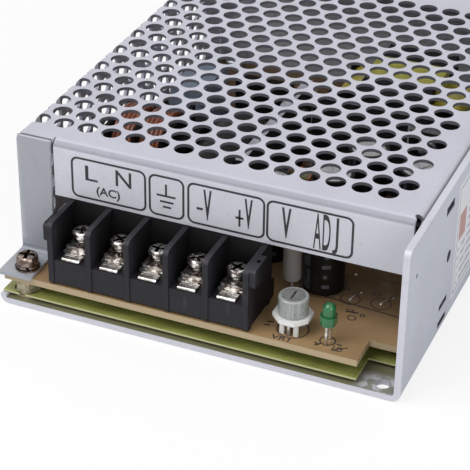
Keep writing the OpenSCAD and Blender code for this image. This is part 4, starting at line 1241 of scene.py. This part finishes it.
@dataclass
class Dress:
    """Gives every CAD node its finish."""

    finishes: dict[str, object] = field(default_factory=dict)

    def __post_init__(self) -> None:
        """Lists the finish of each node."""
        inner = Moulding(body=(0.010, 0.009, 0.008), dust=(0.04, 0.04, 0.04), gloss=0.1, rough=0.6)
        nickel = Plating(body=(0.66, 0.63, 0.60), tarnish=(0.10, 0.06, 0.045), amount=0.85)
        zinc = Plating(body=(0.62, 0.63, 0.66), tarnish=(0.35, 0.34, 0.36))
        bronze = Plating(body=(0.36, 0.29, 0.25), tarnish=(0.07, 0.045, 0.035), amount=0.85)
        tab = ScrewPlating(
            body=bronze.body, tarnish=bronze.tarnish, amount=0.8, first=6.2, step=400.0, line=4.2,
            flat=1.55, top=11.9, depth=1.5, seams=(8.85, 9.7, 8.4),
        )
        screw = ScrewPlating(body=(0.78, 0.75, 0.72), tarnish=(0.07, 0.04, 0.03), amount=0.9, rough=0.16)
        brass = Plating(body=(0.40, 0.36, 0.26), tarnish=(0.20, 0.16, 0.10), amount=0.6, rough=0.4)
        tin = Plating(body=(0.78, 0.77, 0.75), tarnish=(0.24, 0.19, 0.16), amount=0.6)
        can = Plating(body=(0.78, 0.78, 0.80), tarnish=(0.5, 0.5, 0.52), amount=0.3, rough=0.3)
        ferrite = Moulding(body=(0.014, 0.014, 0.016), dust=(0.06, 0.06, 0.065), rough=0.55, gloss=0.12)
        sleeve = Glaze(
            body=(0.007, 0.006, 0.006), shade=(0.012, 0.011, 0.011), rough=0.3, coat=0.0, gloss=0.25
        )
        disc = Glaze(body=(0.09, 0.035, 0.022), shade=(0.05, 0.02, 0.014), gloss=0.3, coat=0.1)
        copper = Glaze(body=(0.40, 0.12, 0.05), shade=(0.22, 0.07, 0.035), grain=1.2)
        self.finishes = {
            "chassis": ChassisSheet(),
            "cover": CoverSheet(),
            "primary_heatsink": SinkSheet(),
            "secondary_heatsink": SinkSheet(),
            "insulation_sheet": Film(),
            "circuit_board": Laminate(),
            "standoffs": brass,
            "board_screws": zinc,
            "device_screws": zinc,
            "cover_screws": zinc,
            "tab_screw": tab,
            "tab_spring_washer": tab,
            "tab_flat_washer": tab,
            "terminal_block": Pockets(
                body=(0.016, 0.015, 0.019), dust=(0.075, 0.07, 0.085), rough=0.46, gloss=0.25, amount=0.22
            ),
            "terminal_plates": tin,
            "clamp_washers": nickel,
            "terminal_spring_washers": nickel,
            "trimmer_base": Moulding(body=(0.72, 0.72, 0.70), dust=(0.5, 0.48, 0.45)),
            "trimmer_pins": tin,
            "trimmer_knob": Knob(),
            "led_lens": Glaze(body=(0.012, 0.19, 0.055), shade=(0.008, 0.12, 0.035), rough=0.12, clear=0.3),
            "led_leads": tin,
            "output_capacitor_cans": can,
            "small_capacitor_cans": can,
            "bulk_capacitor_can": can,
            "output_capacitor_sleeves": sleeve,
            "small_capacitor_sleeves": sleeve,
            "bulk_capacitor_sleeve": sleeve,
            "line_choke_core": ferrite,
            "transformer_core": ferrite,
            "output_choke_core": Moulding(body=(0.20, 0.19, 0.07), dust=(0.3, 0.28, 0.16)),
            "line_choke_bobbin": inner,
            "transformer_bobbin": inner,
            "line_choke_windings": copper,
            "output_choke_winding": copper,
            "core_tape": Glaze(body=(0.50, 0.47, 0.05), shade=(0.40, 0.38, 0.04), rough=0.3),
            "transformer_winding": Winding(
                body=(0.62, 0.52, 0.05), shade=(0.42, 0.34, 0.03), axis=1, pitch=3.5, depth=0.05
            ),
            "x_capacitor": Moulding(body=(0.22, 0.27, 0.35), dust=(0.4, 0.42, 0.45)),
            "y_capacitors": disc,
            "snubber_capacitors": disc,
            "thermistor": Glaze(body=(0.02, 0.04, 0.03), shade=(0.04, 0.06, 0.05)),
            "fuse_glass": Glaze(body=(0.8, 0.85, 0.85), shade=(0.7, 0.75, 0.75), rough=0.05, clear=0.8),
            "fuse_caps": nickel,
            "fuse_clips": nickel,
            "bridge_rectifier": inner,
            "control_ic": inner,
            "power_transistor": inner,
            "output_rectifier": inner,
            "insulating_pads": Moulding(body=(0.42, 0.43, 0.45), dust=(0.55, 0.55, 0.57), rough=0.7),
            "optocoupler": Moulding(body=(0.75, 0.75, 0.72), dust=(0.6, 0.6, 0.58)),
            "tall_resistor": Moulding(body=(0.36, 0.335, 0.32), dust=(0.5, 0.47, 0.45), rough=0.55),
            "resistors": Glaze(body=(0.22, 0.16, 0.09), shade=(0.16, 0.11, 0.06), gloss=0.3, coat=0.1),
        }
        for name in ("line", "neutral", "earth", "minus", "plus"):
            self.finishes[name + "_screw"] = screw

    def build(self, nodes: dict[str, bpy.types.Object]) -> None:
        """Puts each node's material on all of its slots.

        Args:
            nodes: the CAD objects by name.
        """
        made: dict[str, bpy.types.Material] = {}
        for name, obj in nodes.items():
            finish = self.finishes[name]
            key = repr(finish)
            if key not in made:
                made[key] = finish.material(f"finish_{name}")
            obj.data.materials.clear()
            obj.data.materials.append(made[key])
            LOG.info("%s: %s", name, type(finish).__name__)


def main() -> None:
    """Builds the finishes, the added pieces and the stage."""
    logging.basicConfig(level=logging.INFO, format="%(name)s: %(message)s")
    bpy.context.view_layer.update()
    Dress().build(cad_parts)
    Case().build()
    Board().build()
    Threads().build()
    Sleeves().build()
    Bands().build()
    Studio().build()
    bpy.context.view_layer.update()


if __name__ == "__main__":
    main()
